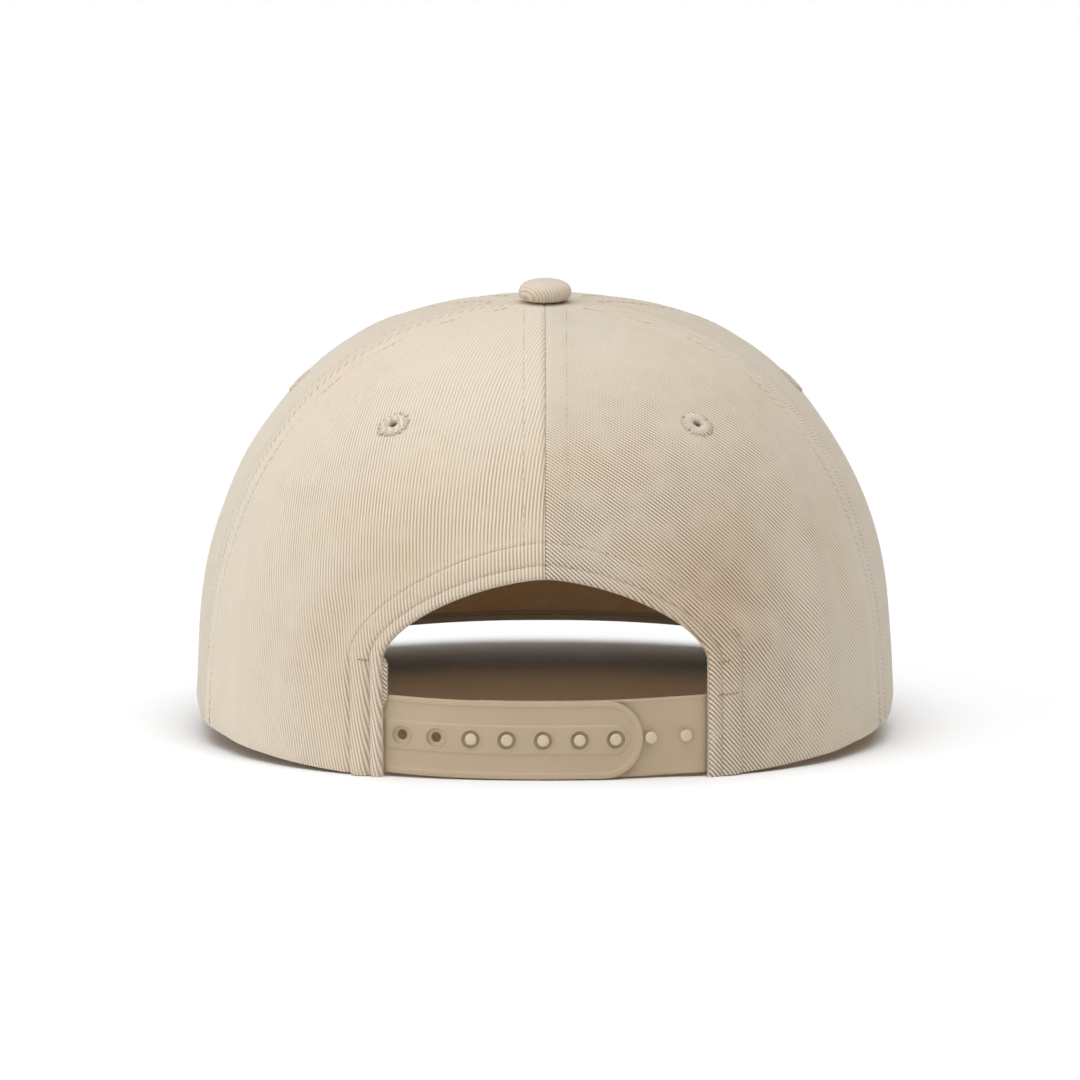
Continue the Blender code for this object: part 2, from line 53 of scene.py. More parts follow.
CAP = Matrix.Translation(CAP_PLACE) @ Matrix.Rotation(-CAP_TILT, 4, "X")
MM = 0.001

# Crown
CROWN_HALF_WIDTH = 0.0908
CROWN_HALF_LENGTH = 0.0960
CROWN_HEIGHT = 0.1039
PLAN_POWER = 2.2
RISE_POWER = 2.38
SIDE_POWER = 2.46
FRONT_POWER = 2.6
REAR_POWER = 2.2
RIM_FLARE = 0.012
FLARE_REACH = 0.12
REAR_SEAM = math.radians(69)
FRONT_SEAM = math.radians(121)
SEAMS = {
    "rear_centre": 0.0,
    "rear_left": REAR_SEAM,
    "front_left": FRONT_SEAM,
    "front_centre": math.pi,
    "front_right": -FRONT_SEAM,
    "rear_right": -REAR_SEAM,
}
PANELS = {
    "rear_left": (0.0, REAR_SEAM),
    "side_left": (REAR_SEAM, FRONT_SEAM),
    "front_left": (FRONT_SEAM, math.pi),
    "rear_right": (-REAR_SEAM, 0.0),
    "side_right": (-FRONT_SEAM, -REAR_SEAM),
    "front_right": (-math.pi, -FRONT_SEAM),
}
GAP = 0.0003
FABRIC = 0.0008
BUCKRAM = 0.0006
TAPE = 0.0008
TAPE_WIDTH = 0.0145
SWEATBAND = 0.0014
SWEATBAND_HEIGHT = 0.032
SWEATBAND_END = 0.003
LINING_DEPTH = FABRIC + GAP
TAPE_DEPTH = LINING_DEPTH + BUCKRAM + GAP
SWEATBAND_DEPTH = TAPE_DEPTH + TAPE + GAP
PANEL_TIP_RADIUS = 0.0019
TAPE_TIP_RADIUS = 0.0061
BUCKRAM_TIP_RADIUS = 0.016

# Sewing
SEAM_ROW = 0.0054                  # from a crown seam to the row of stitches on each side of it
SEAM_GAP = 0.00012
SEAM_DIP = 0.00032
SEAM_GROOVE = 0.00034
ALLOWANCE_LIFT = 0.00026
ROW_DIP = 0.00022
ROW_GROOVE = 0.00036
STITCH = 0.0021
STITCH_GAP = 0.0003
THREAD = 0.00024

# Rear opening
OPENING_HALF_WIDTH = 0.0405
OPENING_SIDE = 0.029
OPENING_ARCH = 0.0208
ARCH_POWER = 1.62                  # 2 is an ellipse, and less gives it sloping shoulders
OPENING_SIDE_SHARE = 0.2
HEM_ROWS = (0.0031, 0.0082)
HEM_ROW_START = 0.01               # share of the outline at which its stitched rows start
HEM_STRIP = 0.012                  # width of the strip of mesh that follows the opening
HEM_FOLD = 0.0009                  # radius of the folded edge
HEM_TURN = 0.0018                  # depth to which the folded edge reaches
FACING = 0.0008
FACING_WIDTH = 0.011
LOOSE_FACING = 0.165               # share of its way round at which the strip peeps out

# Eyelets and button
EYELET_RISE = 0.544
EYELET_BORE = 0.00115
EYELET_RADIUS = 0.0038
BUTTON_RADIUS = 0.00685
BUTTON_HEIGHT = 0.0056

# Visor
VISOR_LENGTH = 0.070
VISOR_HALF_ANGLE = math.radians(62)
VISOR_FULLNESS = 0.55
VISOR_SPREAD = 0.55
VISOR_SLOPE = math.radians(8.4)
VISOR_SIDE_SLOPE = math.radians(30.5)
VISOR_TUCK = 0.001
VISOR_THICKNESS = 0.0035
VISOR_END_WIDTH = 0.005
VISOR_END_WRAP = 1.008             # share of its turn at which cloth closes a cut end
VISOR_ROWS = 7
VISOR_FIRST_ROW = 0.0045
VISOR_ROW_PITCH = 0.0068

# Snap straps
STRAP_HALF = 0.0097
STRAP_MIDDLE = 0.0107
STRAP = 0.0012
STRAP_DEPTH = 0.0020
PEG_STRAP_DEPTH = 0.0035
STRAP_LAP = 0.010
STRAP_CLEAR = 0.0005
TAB_DEPTH = 0.0022
TAB = 0.0006
TAB_LENGTH = 0.011
SNAP_PITCH = 0.0091
SNAP_OFFSET = 0.0005
HOLE_PLACES = range(-2, 5)
PEG_PLACES = range(-4, 3)
STRAP_END = 0.0071
SNAP_HOLE = 0.00128
SNAP_RECESS = 0.0023
SNAP_LIP = 0.00038                 # width of the raised ring round each recess
SNAP_RECESS_DEPTH = 0.0006
PEG_STEM = 0.00105
PEG_HEAD = 0.0015
PEG_NECK = 0.0012
PEG_TOP = 0.00178

# Soft folds in the cloth: (angle, height, lean from upright, half length, half width, lift),
# in degrees and millimetres
FOLDS = (
    (40, 33, 12, 15, 5.0, 0.75), (33, 37, 22, 13, 4.0, -0.55), (46, 24, 4, 20, 4.5, -0.45),
    (53, 36, 0, 28, 6.0, 0.40), (60, 26, -3, 24, 4.5, -0.40), (66, 40, 0, 30, 5.0, 0.30),
    (26, 60, 40, 22, 9.0, 0.35), (48, 66, 20, 22, 9.0, -0.35),
    (-31, 35, -62, 12, 3.4, 0.85), (-33, 42, -58, 12, 3.6, -0.55), (-41, 24, 3, 22, 4.5, -0.50),
    (-48, 30, 0, 26, 4.5, 0.50), (-55, 28, 2, 26, 4.0, -0.50), (-62, 34, 0, 30, 4.5, 0.40),
    (-24, 58, -35, 20, 8.0, 0.35), (-50, 62, -18, 24, 9.0, 0.35),
    (78, 38, 0, 30, 6.0, -0.35), (88, 40, 2, 30, 7.0, 0.40), (99, 36, -2, 26, 6.0, -0.35),
    (109, 44, 3, 30, 7.0, 0.35), (-77, 36, 0, 28, 5.5, -0.40), (-87, 42, -2, 30, 7.0, 0.40),
    (-98, 38, 2, 28, 6.0, -0.35), (-110, 42, -3, 30, 7.0, 0.35),
    (143, 99, 0, 7, 20, -0.45), (-143, 99, 0, 7, 20, -0.30),
)
FOLD_GAIN = 1.5
LOWEST = -0.0009                   # limits of all relief together
HIGHEST = 0.0015
CLOTH_UNEVENNESS = 0.00036
UNEVENNESS_SCALE = 48.0


# ---- crown surface

def smooth(value, low, high):
    """Share from 0 to 1 that eases in as value goes from low to high."""
    share = min(max((value - low) / (high - low), 0.0), 1.0)
    return share * share * (3.0 - 2.0 * share)


def bell(value, width):
    return math.exp(-(value / width) ** 2)


def shares(count):
    return [k / count for k in range(count + 1)]


def rise_at(height):
    share = min(max(height / CROWN_HEIGHT, 0.0), 1.0)
    return math.asin(share ** (0.5 * RISE_POWER)) / (0.5 * math.pi)


def rise_at_radius(radius):
    power = min(SIDE_POWER, FRONT_POWER, REAR_POWER)
    return math.acos((radius / CROWN_HALF_WIDTH) ** (0.5 * power)) / (0.5 * math.pi)


def crown_section(rise):
    """Height of the level section at a rise, and its half-axes to the sides, front and rear."""
    turn = 0.5 * math.pi * rise
    share = math.sin(turn) ** (2.0 / RISE_POWER)
    flare = 1.0 + RIM_FLARE * math.exp(-share / FLARE_REACH)
    side = CROWN_HALF_WIDTH * flare * math.cos(turn) ** (2.0 / SIDE_POWER)
    front = CROWN_HALF_LENGTH * flare * math.cos(turn) ** (2.0 / FRONT_POWER)
    rear = CROWN_HALF_LENGTH * flare * math.cos(turn) ** (2.0 / REAR_POWER)
    return CROWN_HEIGHT * share, side, front, rear


def outer_point(angle, rise):
    height, side, front, rear = crown_section(rise)
    across, along = math.sin(angle), math.cos(angle)
    length = front if along < 0 else rear
    total = abs(across / side) ** PLAN_POWER + abs(along / length) ** PLAN_POWER
    radius = total ** (-1.0 / PLAN_POWER)
    return Vector((radius * across, radius * along, height))


def crown_normal(angle, rise):
    step = 1e-4
    upwards = outer_point(angle, rise + step) - outer_point(angle, max(rise - step, 0.0))
    sideways = outer_point(angle + step, rise) - outer_point(angle - step, rise)
    normal = upwards.cross(sideways)
    if rise == 0:
        normal.z = 0
    return normal.normalized()


def crown_point(angle, rise, depth):
    return outer_point(angle, rise) - depth * crown_normal(angle, rise)


def rear_angle(x, rise):
    """Angle of the point on the crown's rear that lies a distance to the wearer's left."""
    _, side, _, rear = crown_section(rise)
    return math.atan2(x, rear * (1.0 - abs(x / side) ** PLAN_POWER) ** (1.0 / PLAN_POWER))


def rear_point(x, height, depth):
    rise = rise_at(height)
    return crown_point(rear_angle(x, rise), rise, depth)


def arch_point(along, grow):
    """(x, height) on the opening's outline, grown outwards, from its left foot at 0 to 1."""
    half = OPENING_HALF_WIDTH + grow
    if along < OPENING_SIDE_SHARE:
        return half, OPENING_SIDE * along / OPENING_SIDE_SHARE
    if along > 1.0 - OPENING_SIDE_SHARE:
        return -half, OPENING_SIDE * (1.0 - along) / OPENING_SIDE_SHARE
    turn = math.pi * (along - OPENING_SIDE_SHARE) / (1.0 - 2.0 * OPENING_SIDE_SHARE)
    across = math.copysign(abs(math.cos(turn)) ** (2.0 / ARCH_POWER), math.cos(turn))
    above = max(math.sin(turn), 0.0) ** (2.0 / ARCH_POWER)
    return half * across, OPENING_SIDE + (OPENING_ARCH + grow) * above


def arch_place(along, grow):
    """(angle, rise) of a point on the opening's grown outline."""
    x, height = arch_point(along, grow)
    rise = rise_at(height)
    return rear_angle(x, rise), rise


def hem_distance(x, height):
    """How far outside the opening's outline a point lies."""
    if height <= OPENING_SIDE:
        return abs(x) - OPENING_HALF_WIDTH
    low, high = -0.9 * OPENING_ARCH, 2.0 * OPENING_HALF_WIDTH
    for _ in range(18):
        grow = 0.5 * (low + high)
        across = abs(x) / (OPENING_HALF_WIDTH + grow)
        above = (height - OPENING_SIDE) / (OPENING_ARCH + grow)
        if across ** ARCH_POWER + above ** ARCH_POWER > 1.0:
            low = grow
        else:
            high = grow
    return grow


# ---- relief of the sewn cloth

def seam_relief(point, angle, rise):
    """Valley along each seam, the turned edges that pad both sides, and the stitched rows."""
    radius = point.xy.length
    nearest = min(abs(math.remainder(angle - seam, math.tau)) for seam in SEAMS.values())
    away = nearest * radius
    fade = 1.0 - smooth(rise, 0.90, 0.97)
    lift = -SEAM_DIP * bell(away, SEAM_GROOVE)
    padded = smooth(away, 0.3 * MM, 1.1 * MM) * (1.0 - smooth(away, SEAM_ROW, SEAM_ROW + 1.6 * MM))
    return lift + fade * (ALLOWANCE_LIFT * padded - ROW_DIP * bell(away - SEAM_ROW, ROW_GROOVE))


def hem_relief(point):
    """Bands that puff up between the folded edge and the two stitched rows of the opening."""
    away = hem_distance(point.x, point.z)
    first, second = HEM_ROWS
    if away > second + 4.0 * MM:
        return 0.0
    upright = 1.0 - smooth(point.z, 0.8 * OPENING_SIDE, 1.25 * OPENING_SIDE)
    puff = (0.26 + upright * (0.70 if point.x > 0 else 0.20)) * MM
    edge_band = math.sin(math.pi * min(max(away / first, 0.0), 1.0))
    wide_band = math.sin(math.pi * min(max((away - first) / (second - first), 0.0), 1.0))
    groove = ROW_GROOVE * (1.0 + (0.8 * upright if point.x > 0 else 0.0))
    rows = bell(away - first, groove) + bell(away - second, groove)
    thick = 0.35 * MM * (1.0 - smooth(away, second - 0.2 * MM, second + 1.8 * MM))
    pulled = 1.4 + (2.6 * upright if point.x > 0 else 0.0)
    return puff * (0.6 * edge_band + 0.75 * wide_band) + thick - pulled * ROW_DIP * rows


def fold_relief(point, angle):
    lift = 0.0
    radius = point.xy.length
    for centre, height, lean, length, width, rise in FOLDS:
        sideways = math.remainder(angle - math.radians(centre), math.tau) * radius / MM
        upwards = point.z / MM - height
        if abs(sideways) > 3 * length or abs(upwards) > 3 * length:
            continue
        lean = math.radians(lean)
        along = upwards * math.cos(lean) - sideways * math.sin(lean)
        across = sideways * math.cos(lean) + upwards * math.sin(lean)
        lift += FOLD_GAIN * rise * MM * bell(along, length) * bell(across, width)
    return lift


def relief(angle, rise):
    """How far the sewn cloth stands out from the crown's plain surface."""
    point = outer_point(angle, rise)
    lift = seam_relief(point, angle, rise) + fold_relief(point, angle)
    lift += CLOTH_UNEVENNESS * noise.noise(point * UNEVENNESS_SCALE)
    if abs(angle) < REAR_SEAM:
        lift += hem_relief(point)
    rim = bell(point.z, 0.8 * MM)
    return min(max(lift, LOWEST), HIGHEST) * smooth(1.0 - rise, 0.0, 0.08) - 0.3 * MM * rim


def cloth_point(angle, rise, lift=0.0):
    return crown_point(angle, rise, -relief(angle, rise) - lift)


# ---- meshes and pieces

def mesh_from(name, points, faces, uvs=None):
    data = bpy.data.meshes.new(name)
    data.from_pydata([tuple(point) for point in points], [], faces)
    if uvs is not None:
        corners = np.empty(len(data.loops), dtype=np.int32)
        data.loops.foreach_get("vertex_index", corners)
        layer = data.uv_layers.new(name="cloth")
        layer.data.foreach_set("uv", np.array(uvs, dtype=np.float32)[corners].ravel())
    return data


def grid_faces(columns, rows):
    """Faces of a grid of points, listed column by column."""
    step = rows + 1
    corners = [i * step + j for i in range(columns) for j in range(rows)]
    return [(corner, corner + 1, corner + step + 1, corner + step) for corner in corners]


def sheet_mesh(name, place, columns, rows, keep=None):
    """Open sheet; place(i, j) gives the point and cloth coordinates of a grid corner."""
    grid = [place(i, j) for i in range(columns + 1) for j in range(rows + 1)]
    points, uvs = zip(*grid)
    faces = grid_faces(columns, rows)
    if keep:
        faces = [face for face in faces if keep(sum((points[k] for k in face), Vector()) / 4.0)]
    return mesh_from(name, points, faces, uvs)


def finished(name, mesh):
    """A new mesh from one being edited, with its faces turned outwards."""
    bmesh.ops.recalc_face_normals(mesh, faces=mesh.faces)
    data = bpy.data.meshes.new(name)
    mesh.to_mesh(data)
    mesh.free()
    return data


def loft_mesh(name, places, ring_at, open_end=False):
    """Solid through one ring at each place, with a flat cap at each closed end.

    ring_at(place) lists the (point, cloth coordinates) of a ring."""
    rings = [ring_at(place) for place in places]
    count = len(rings[0])
    faces = []
    for k in range(len(rings) - 1):
        for i in range(count):
            n = (i + 1) % count
            faces.append((k * count + i, k * count + n, (k + 1) * count + n, (k + 1) * count + i))
    last = (len(rings) - 1) * count
    faces.append(tuple(range(count)))
    if not open_end:
        faces.append(tuple(last + i for i in reversed(range(count))))
    points, uvs = zip(*[corner for ring in rings for corner in ring])
    mesh = bmesh.new()
    mesh.from_mesh(mesh_from(name, points, faces, uvs))
    return finished(name, mesh)


def turned_mesh(name, profile, steps, closed=False):
    """Solid that a profile of (radius, height) points sweeps round Z."""
    mesh = bmesh.new()
    points = [mesh.verts.new((radius, 0, height)) for radius, height in profile]
    pairs = list(zip(points, points[1:]))
    if closed:
        pairs.append((points[-1], points[0]))
    edges = [mesh.edges.new(pair) for pair in pairs]
    bmesh.ops.spin(mesh, geom=points + edges, cent=(0, 0, 0), axis=(0, 0, 1),
                   angle=math.tau, steps=steps, use_merge=True)
    bmesh.ops.remove_doubles(mesh, verts=mesh.verts, dist=1e-7)
    return finished(name, mesh)


def joined(name, parts):
    """One mesh made of several."""
    mesh = bmesh.new()
    for part in parts:
        mesh.from_mesh(part)
    return finished(name, mesh)


def placed(name, data):
    thing = bpy.data.objects.new(name, data)
    bpy.context.scene.collection.objects.link(thing)
    return thing


def baked(name, data, kind, settings):
    """The mesh after a modifier with the given settings."""
    holder = placed(name, data)
    change = holder.modifiers.new(kind, kind)
    for key, value in settings.items():
        if key in change.bl_rna.properties:
            setattr(change, key, value)
        else:
            change[key] = value
    bpy.context.view_layer.update()
    graph = bpy.context.evaluated_depsgraph_get()
    result = bpy.data.meshes.new_from_object(holder.evaluated_get(graph))
    bpy.data.objects.remove(holder)
    result.name = name
    return result


def thickened(name, data, thickness):
    """The sheet as a closed cloth whose outer face is the sheet."""
    return baked(name, data, "SOLIDIFY", {"thickness": thickness, "offset": -1.0})


def add_piece(name, data, finish, replaces=(), sharp=40, body="crown"):
    """Puts a mesh drawn in the crown's frame where it belongs, as a piece of the given body."""
    data.transform(CAP)
    data.shade_smooth()
    data.set_sharp_from_angle(angle=math.radians(sharp))
    data.materials.clear()
    data.materials.append(finish)
    piece = placed(name, data)
    if replaces:
        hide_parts(*replaces)
    if body:
        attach(piece, body)
    return piece


# ---- node helpers

def add_node(tree, kind, inputs=(), **settings):
    """Node with its settings and inputs; an input is a value or the socket that feeds it."""
    made = tree.nodes.new(kind)
    for key, value in settings.items():
        setattr(made, key, value)
    for key, value in dict(inputs).items():
        if isinstance(value, bpy.types.NodeSocket):
            tree.links.new(value, made.inputs[key])
        else:
            made.inputs[key].default_value = value
    return made


def fed(tree, kind, inputs=(), result=0, **settings):
    """One output of a new node."""
    return add_node(tree, kind, inputs, **settings).outputs[result]


def calc(tree, operation, first, second=0.0, third=0.0):
    return fed(tree, "ShaderNodeMath", {0: first, 1: second, 2: third}, operation=operation)


def times(tree, first, second):
    return calc(tree, "MULTIPLY", first, second)


def plus(tree, first, second):
    return calc(tree, "ADD", first, second)


def vector_calc(tree, operation, first, second, result=0):
    return fed(tree, "ShaderNodeVectorMath", {0: first, 1: second}, result, operation=operation)


def object_place(tree):
    return fed(tree, "ShaderNodeTexCoord", result="Object")


def cloth_place(tree):
    return fed(tree, "ShaderNodeUVMap", uv_map="cloth")


def noise_at(tree, place, scale, detail=2.0):
    return fed(tree, "ShaderNodeTexNoise", {"Vector": place, "Scale": scale, "Detail": detail}, "Fac")


def ramp_between(tree, share, low, high, start=0.0, end=1.0, kind="LINEAR"):
    """Number that goes from low to high as share goes from start to end."""
    return fed(tree, "ShaderNodeMapRange", {
        "Value": share, "From Min": start, "From Max": end, "To Min": low, "To Max": high},
        "Result", interpolation_type=kind)


def colour_mix(tree, share, first, second, blend="MIX"):
    """Colour between two colours, each a socket or three numbers."""
    inputs = {0: share}
    for key, value in ((6, first), (7, second)):
        inputs[key] = (*value, 1.0) if isinstance(value, tuple) else value
    return fed(tree, "ShaderNodeMix", inputs, 2, data_type="RGBA", blend_type=blend)


def new_finish(name, roughness, sheen=0.0, metallic=0.0):
    """Material with its principled shader, ready for its colour and its bump."""
    made = bpy.data.materials.new(name)
    made.use_nodes = True
    shader = made.node_tree.nodes["Principled BSDF"]
    for key, value in (("Roughness", roughness), ("Metallic", metallic), ("Sheen Weight", sheen),
                       ("Sheen Roughness", 0.5)):
        shader.inputs[key].default_value = value
    return made, made.node_tree, shader


def finish_with(tree, shader, colour, height, distance, strength=1.0):
    """Feeds the shader its colour and a bump of the given height in metres."""
    bump = fed(tree, "ShaderNodeBump", {"Height": height, "Distance": distance, "Strength": strength})
    tree.links.new(colour, shader.inputs["Base Color"])
    tree.links.new(bump, shader.inputs["Normal"])


# ---- finishes

PAINTED_SHADE_PATCHES = (                    # warm patches of painted shade, on the shaded wearer's right and in creases on the left: middle, reach, amount
    ((-0.038, 0.117, 0.042), 0.030, 0.80),
    ((0.033, 0.119, 0.050), 0.024, 0.30),
    ((0.047, 0.108, 0.030), 0.024, 0.40),
)
TOP_AND_SIDE_CONTRAST = 0.45                     # share of the twill contrast kept at the top and at the sides, where the cloth is also drawn lighter

def woven(name, base, groove, wale_angle, pitch, relief_depth):
    """Twill: slanting wales built of short yarn floats, uneven like real cotton."""
    made, tree, shader = new_finish(name, 0.92, sheen=0.22)
    scaled = vector_calc(tree, "MULTIPLY", cloth_place(tree), (1000.0,) * 3)
    body_place = object_place(tree)
    turned = fed(tree, "ShaderNodeVectorRotate", {"Vector": scaled, "Angle": wale_angle},
                 rotation_type="Z_AXIS")
    axes = add_node(tree, "ShaderNodeSeparateXYZ", {0: turned})
    drift = ramp_between(tree, noise_at(tree, scaled, 0.12), -0.16, 0.16)
    phase = times(tree, plus(tree, axes.outputs["X"], drift), math.tau / pitch)
    wave = calc(tree, "MULTIPLY_ADD", calc(tree, "SINE", phase), 0.5, 0.5)
    ridge = calc(tree, "POWER", wave, 0.7)
    floats = plus(tree, times(tree, axes.outputs["Y"], math.tau / 0.75), times(tree, phase, 0.5))
    floats = calc(tree, "MULTIPLY_ADD", calc(tree, "SINE", floats), 0.5, 0.5)
    patch = ramp_between(tree, noise_at(tree, body_place, 26.0), 0.6, 2.0)
    patch = times(tree, patch, ramp_between(tree, noise_at(tree, body_place, 170.0, 3.0), -0.2, 2.3))
    spot = add_node(tree, "ShaderNodeSeparateXYZ", {0: body_place})
    crisp = 1.0
    for away, near, far in ((spot.outputs["Z"], 0.066, 0.100),
                            (calc(tree, "ABSOLUTE", spot.outputs["X"]), 0.048, 0.080)):
        crisp = times(tree, ramp_between(tree, away, 1.0, TOP_AND_SIDE_CONTRAST, near, far), crisp)
    weave = plus(tree, times(tree, ridge, 0.72), times(tree, floats, 0.14))
    weave = plus(tree, weave, times(tree, noise_at(tree, scaled, 2.6, 3.0), 0.28))
    contrast = times(tree, calc(tree, "SUBTRACT", weave, 0.72), times(tree, patch, crisp))
    # The furrows between the wales take the groove colour, which is painted shade of the twill's relief.
    # The mix also goes lighter where the contrast falls off towards the top and the sides.
    colour = colour_mix(tree, plus(tree, contrast, ramp_between(tree, crisp, 0.92, 0.62)), groove, base)
    for cloud_size, tint, amount in ((17.0, (0.98, 0.90, 0.86), 0.6), (38.0, (1.0, 0.95, 0.84), 0.9)):
        cloud = noise_at(tree, body_place, cloud_size, 3.0)
        colour = colour_mix(tree, ramp_between(tree, cloud, -0.2, amount), colour, tint, "MULTIPLY")
    # Each patch darkens and warms the cloth as painted shade.
    for middle, reach, amount in PAINTED_SHADE_PATCHES:
        away = vector_calc(tree, "DISTANCE", body_place, middle, "Value")
        tan = ramp_between(tree, away, amount, 0.0, 0.0, reach, "SMOOTHSTEP")
        colour = colour_mix(tree, tan, colour, (0.90, 0.79, 0.68), "MULTIPLY")
    slub = noise_at(tree, vector_calc(tree, "MULTIPLY", turned, (2.2, 0.10, 1.0)), 1.0)
    slub = ramp_between(tree, slub, 0.0, 0.22)
    colour = colour_mix(tree, slub, colour, (0.80, 0.78, 0.74), "MULTIPLY")
    finish_with(tree, shader, colour, weave, relief_depth, 0.8)
    return made


def spun_thread(name, light, dark):
    """Sewing thread with a fine twist."""
    made, tree, shader = new_finish(name, 0.7, sheen=0.2)
    twist = fed(tree, "ShaderNodeTexWave", {
        "Vector": object_place(tree), "Scale": 900.0, "Distortion": 2.0},
        "Fac", bands_direction="DIAGONAL")
    finish_with(tree, shader, colour_mix(tree, twist, dark, light), twist, 0.00006)
    return made


def moulded(name, base, shade, roughness):
    """Soft moulded plastic with a faintly uneven skin."""
    made, tree, shader = new_finish(name, roughness)
    place = object_place(tree)
    skin = noise_at(tree, place, 1400.0, 3.0)
    tree.links.new(ramp_between(tree, skin, roughness - 0.06, roughness + 0.1),
                   shader.inputs["Roughness"])
    shader.inputs["Subsurface Weight"].default_value = 0.12
    shader.inputs["Subsurface Radius"].default_value = (0.0012, 0.0009, 0.0005)
    shader.inputs["Subsurface Scale"].default_value = 1.0
    finish_with(tree, shader, colour_mix(tree, noise_at(tree, place, 60.0), shade, base), skin, 0.00003)
    return made


def plain_weave(name, base, shade, count, depth):
    """Square open weave, for stiffening and tape."""
    made, tree, shader = new_finish(name, 0.9, sheen=0.1)
    axes = add_node(tree, "ShaderNodeSeparateXYZ", {0: cloth_place(tree)})
    threads = []
    for axis in ("X", "Y"):
        phase = times(tree, axes.outputs[axis], math.tau * count)
        threads.append(calc(tree, "ABSOLUTE", calc(tree, "SINE", phase)))
    weave = calc(tree, "MAXIMUM", *threads)
    weave = plus(tree, weave, times(tree, noise_at(tree, object_place(tree), 500.0), 0.5))
    finish_with(tree, shader, colour_mix(tree, times(tree, weave, 0.7), shade, base), weave, depth)
    return made


def brushed_metal(name, base):
    made, tree, shader = new_finish(name, 0.35, metallic=1.0)
    grain = noise_at(tree, object_place(tree), 900.0, 3.0)
    colour = colour_mix(tree, grain, tuple(0.8 * part for part in base), base)
    tree.links.new(ramp_between(tree, grain, 0.28, 0.5), shader.inputs["Roughness"])
    finish_with(tree, shader, colour, grain, 0.00002)
    return made


CLOTH = (0.745, 0.680, 0.580)
# Furrow colours of the twill, painted shade of its relief; the lighter one is for the rear left panel.
CLOTH_GROOVE_SHADE = (0.255, 0.190, 0.130)
SOFT_GROOVE_SHADE = (0.420, 0.340, 0.255)
WALE_PITCH = 0.86                  # in millimetres
TWILL = woven("twill", CLOTH, CLOTH_GROOVE_SHADE, math.radians(40), WALE_PITCH, 0.00016)
TWILL_REAR_LEFT = woven("twill_rear_left", CLOTH, SOFT_GROOVE_SHADE, math.radians(15), WALE_PITCH, 0.00016)
BAND_TWILL = woven("band_twill", (0.62, 0.47, 0.30), (0.59, 0.445, 0.28), math.radians(45), 0.9, 0.00008)
# Thread's own colour, darkened with painted shade so that the stitched rows read as dark sunk lines.
SEWING_WITH_SHADE = spun_thread("sewing_thread_with_shade", (0.52, 0.44, 0.34), (0.40, 0.33, 0.24))
# Tack thread drawn dark brown, as the painted shadow of the small tacks beside the opening.
TACK_SHADOW_THREAD = spun_thread("tack_shadow_thread", (0.30, 0.22, 0.15), (0.20, 0.14, 0.09))
OVERCAST = spun_thread("eyelet_thread", (0.70, 0.62, 0.51), (0.52, 0.44, 0.34))
PLASTIC = moulded("strap_plastic", (0.455, 0.358, 0.240), (0.420, 0.328, 0.216), 0.42)
PEG_PLASTIC = moulded("peg_plastic", (0.60, 0.49, 0.35), (0.56, 0.455, 0.32), 0.40)
BOARD = moulded("visor_board_plastic", (0.16, 0.16, 0.16), (0.12, 0.12, 0.12), 0.5)
STIFFENING = plain_weave("buckram_weave", (0.66, 0.54, 0.39), (0.56, 0.44, 0.30), 480.0, 0.00012)
TAPE_WEAVE = plain_weave("tape_weave", (0.60, 0.47, 0.31), (0.50, 0.38, 0.24), 900.0, 0.00008)
METAL = brushed_metal("button_metal", (0.62, 0.60, 0.56))


# ---- sewing trees

def new_tree(name, sockets):
    """Geometry node group with the given named inputs, each (name, kind, value)."""
    tree = bpy.data.node_groups.new(name, "GeometryNodeTree")
    tree.interface.new_socket("Geometry", in_out="INPUT", socket_type="NodeSocketGeometry")
    for label, kind, value in sockets:
        socket = tree.interface.new_socket(label, in_out="INPUT", socket_type=f"NodeSocket{kind}")
        if value is not None:
            socket.default_value = value
    tree.interface.new_socket("Geometry", in_out="OUTPUT", socket_type="NodeSocketGeometry")
    return tree, tree.nodes.new("NodeGroupInput").outputs


def end_tree(tree, instances, finish):
    """Makes the instances real, gives them their finish and sends them out."""
    real = fed(tree, "GeometryNodeRealizeInstances", {0: instances})
    coated = fed(tree, "GeometryNodeSetMaterial", {"Geometry": real, "Material": finish})
    add_node(tree, "NodeGroupOutput", {0: coated})


def running_stitch_tree():
    """Stitches of one length laid end to end along the edges it is given."""
    tree, given = new_tree("running_stitch", (
        ("Stitch", "Float", STITCH), ("Pitch", "Float", STITCH + STITCH_GAP),
        ("Thread", "Float", THREAD), ("Finish", "Material", None)))
    path = fed(tree, "GeometryNodeMeshToCurve", {0: given["Geometry"]})
    spots = fed(tree, "GeometryNodeResampleCurve", {
        "Curve": path, "Length": given["Pitch"]}, mode="LENGTH")
    facing = fed(tree, "GeometryNodeInputNamedAttribute", {"Name": "outward"}, data_type="FLOAT_VECTOR")
    along = fed(tree, "FunctionNodeAlignRotationToVector", {
        "Vector": fed(tree, "GeometryNodeInputTangent")}, axis="X")
    turned = fed(tree, "FunctionNodeAlignRotationToVector", {
        "Rotation": along, "Vector": facing}, axis="Z", pivot_axis="X")
    bead = fed(tree, "GeometryNodeMeshUVSphere", {"Segments": 8, "Rings": 5, "Radius": 0.5})
    size = fed(tree, "ShaderNodeCombineXYZ", {
        "X": given["Stitch"], "Y": given["Thread"], "Z": given["Thread"]})
    laid = fed(tree, "GeometryNodeInstanceOnPoints", {
        "Points": spots, "Instance": bead, "Rotation": turned, "Scale": size})
    end_tree(tree, laid, given["Finish"])
    return tree


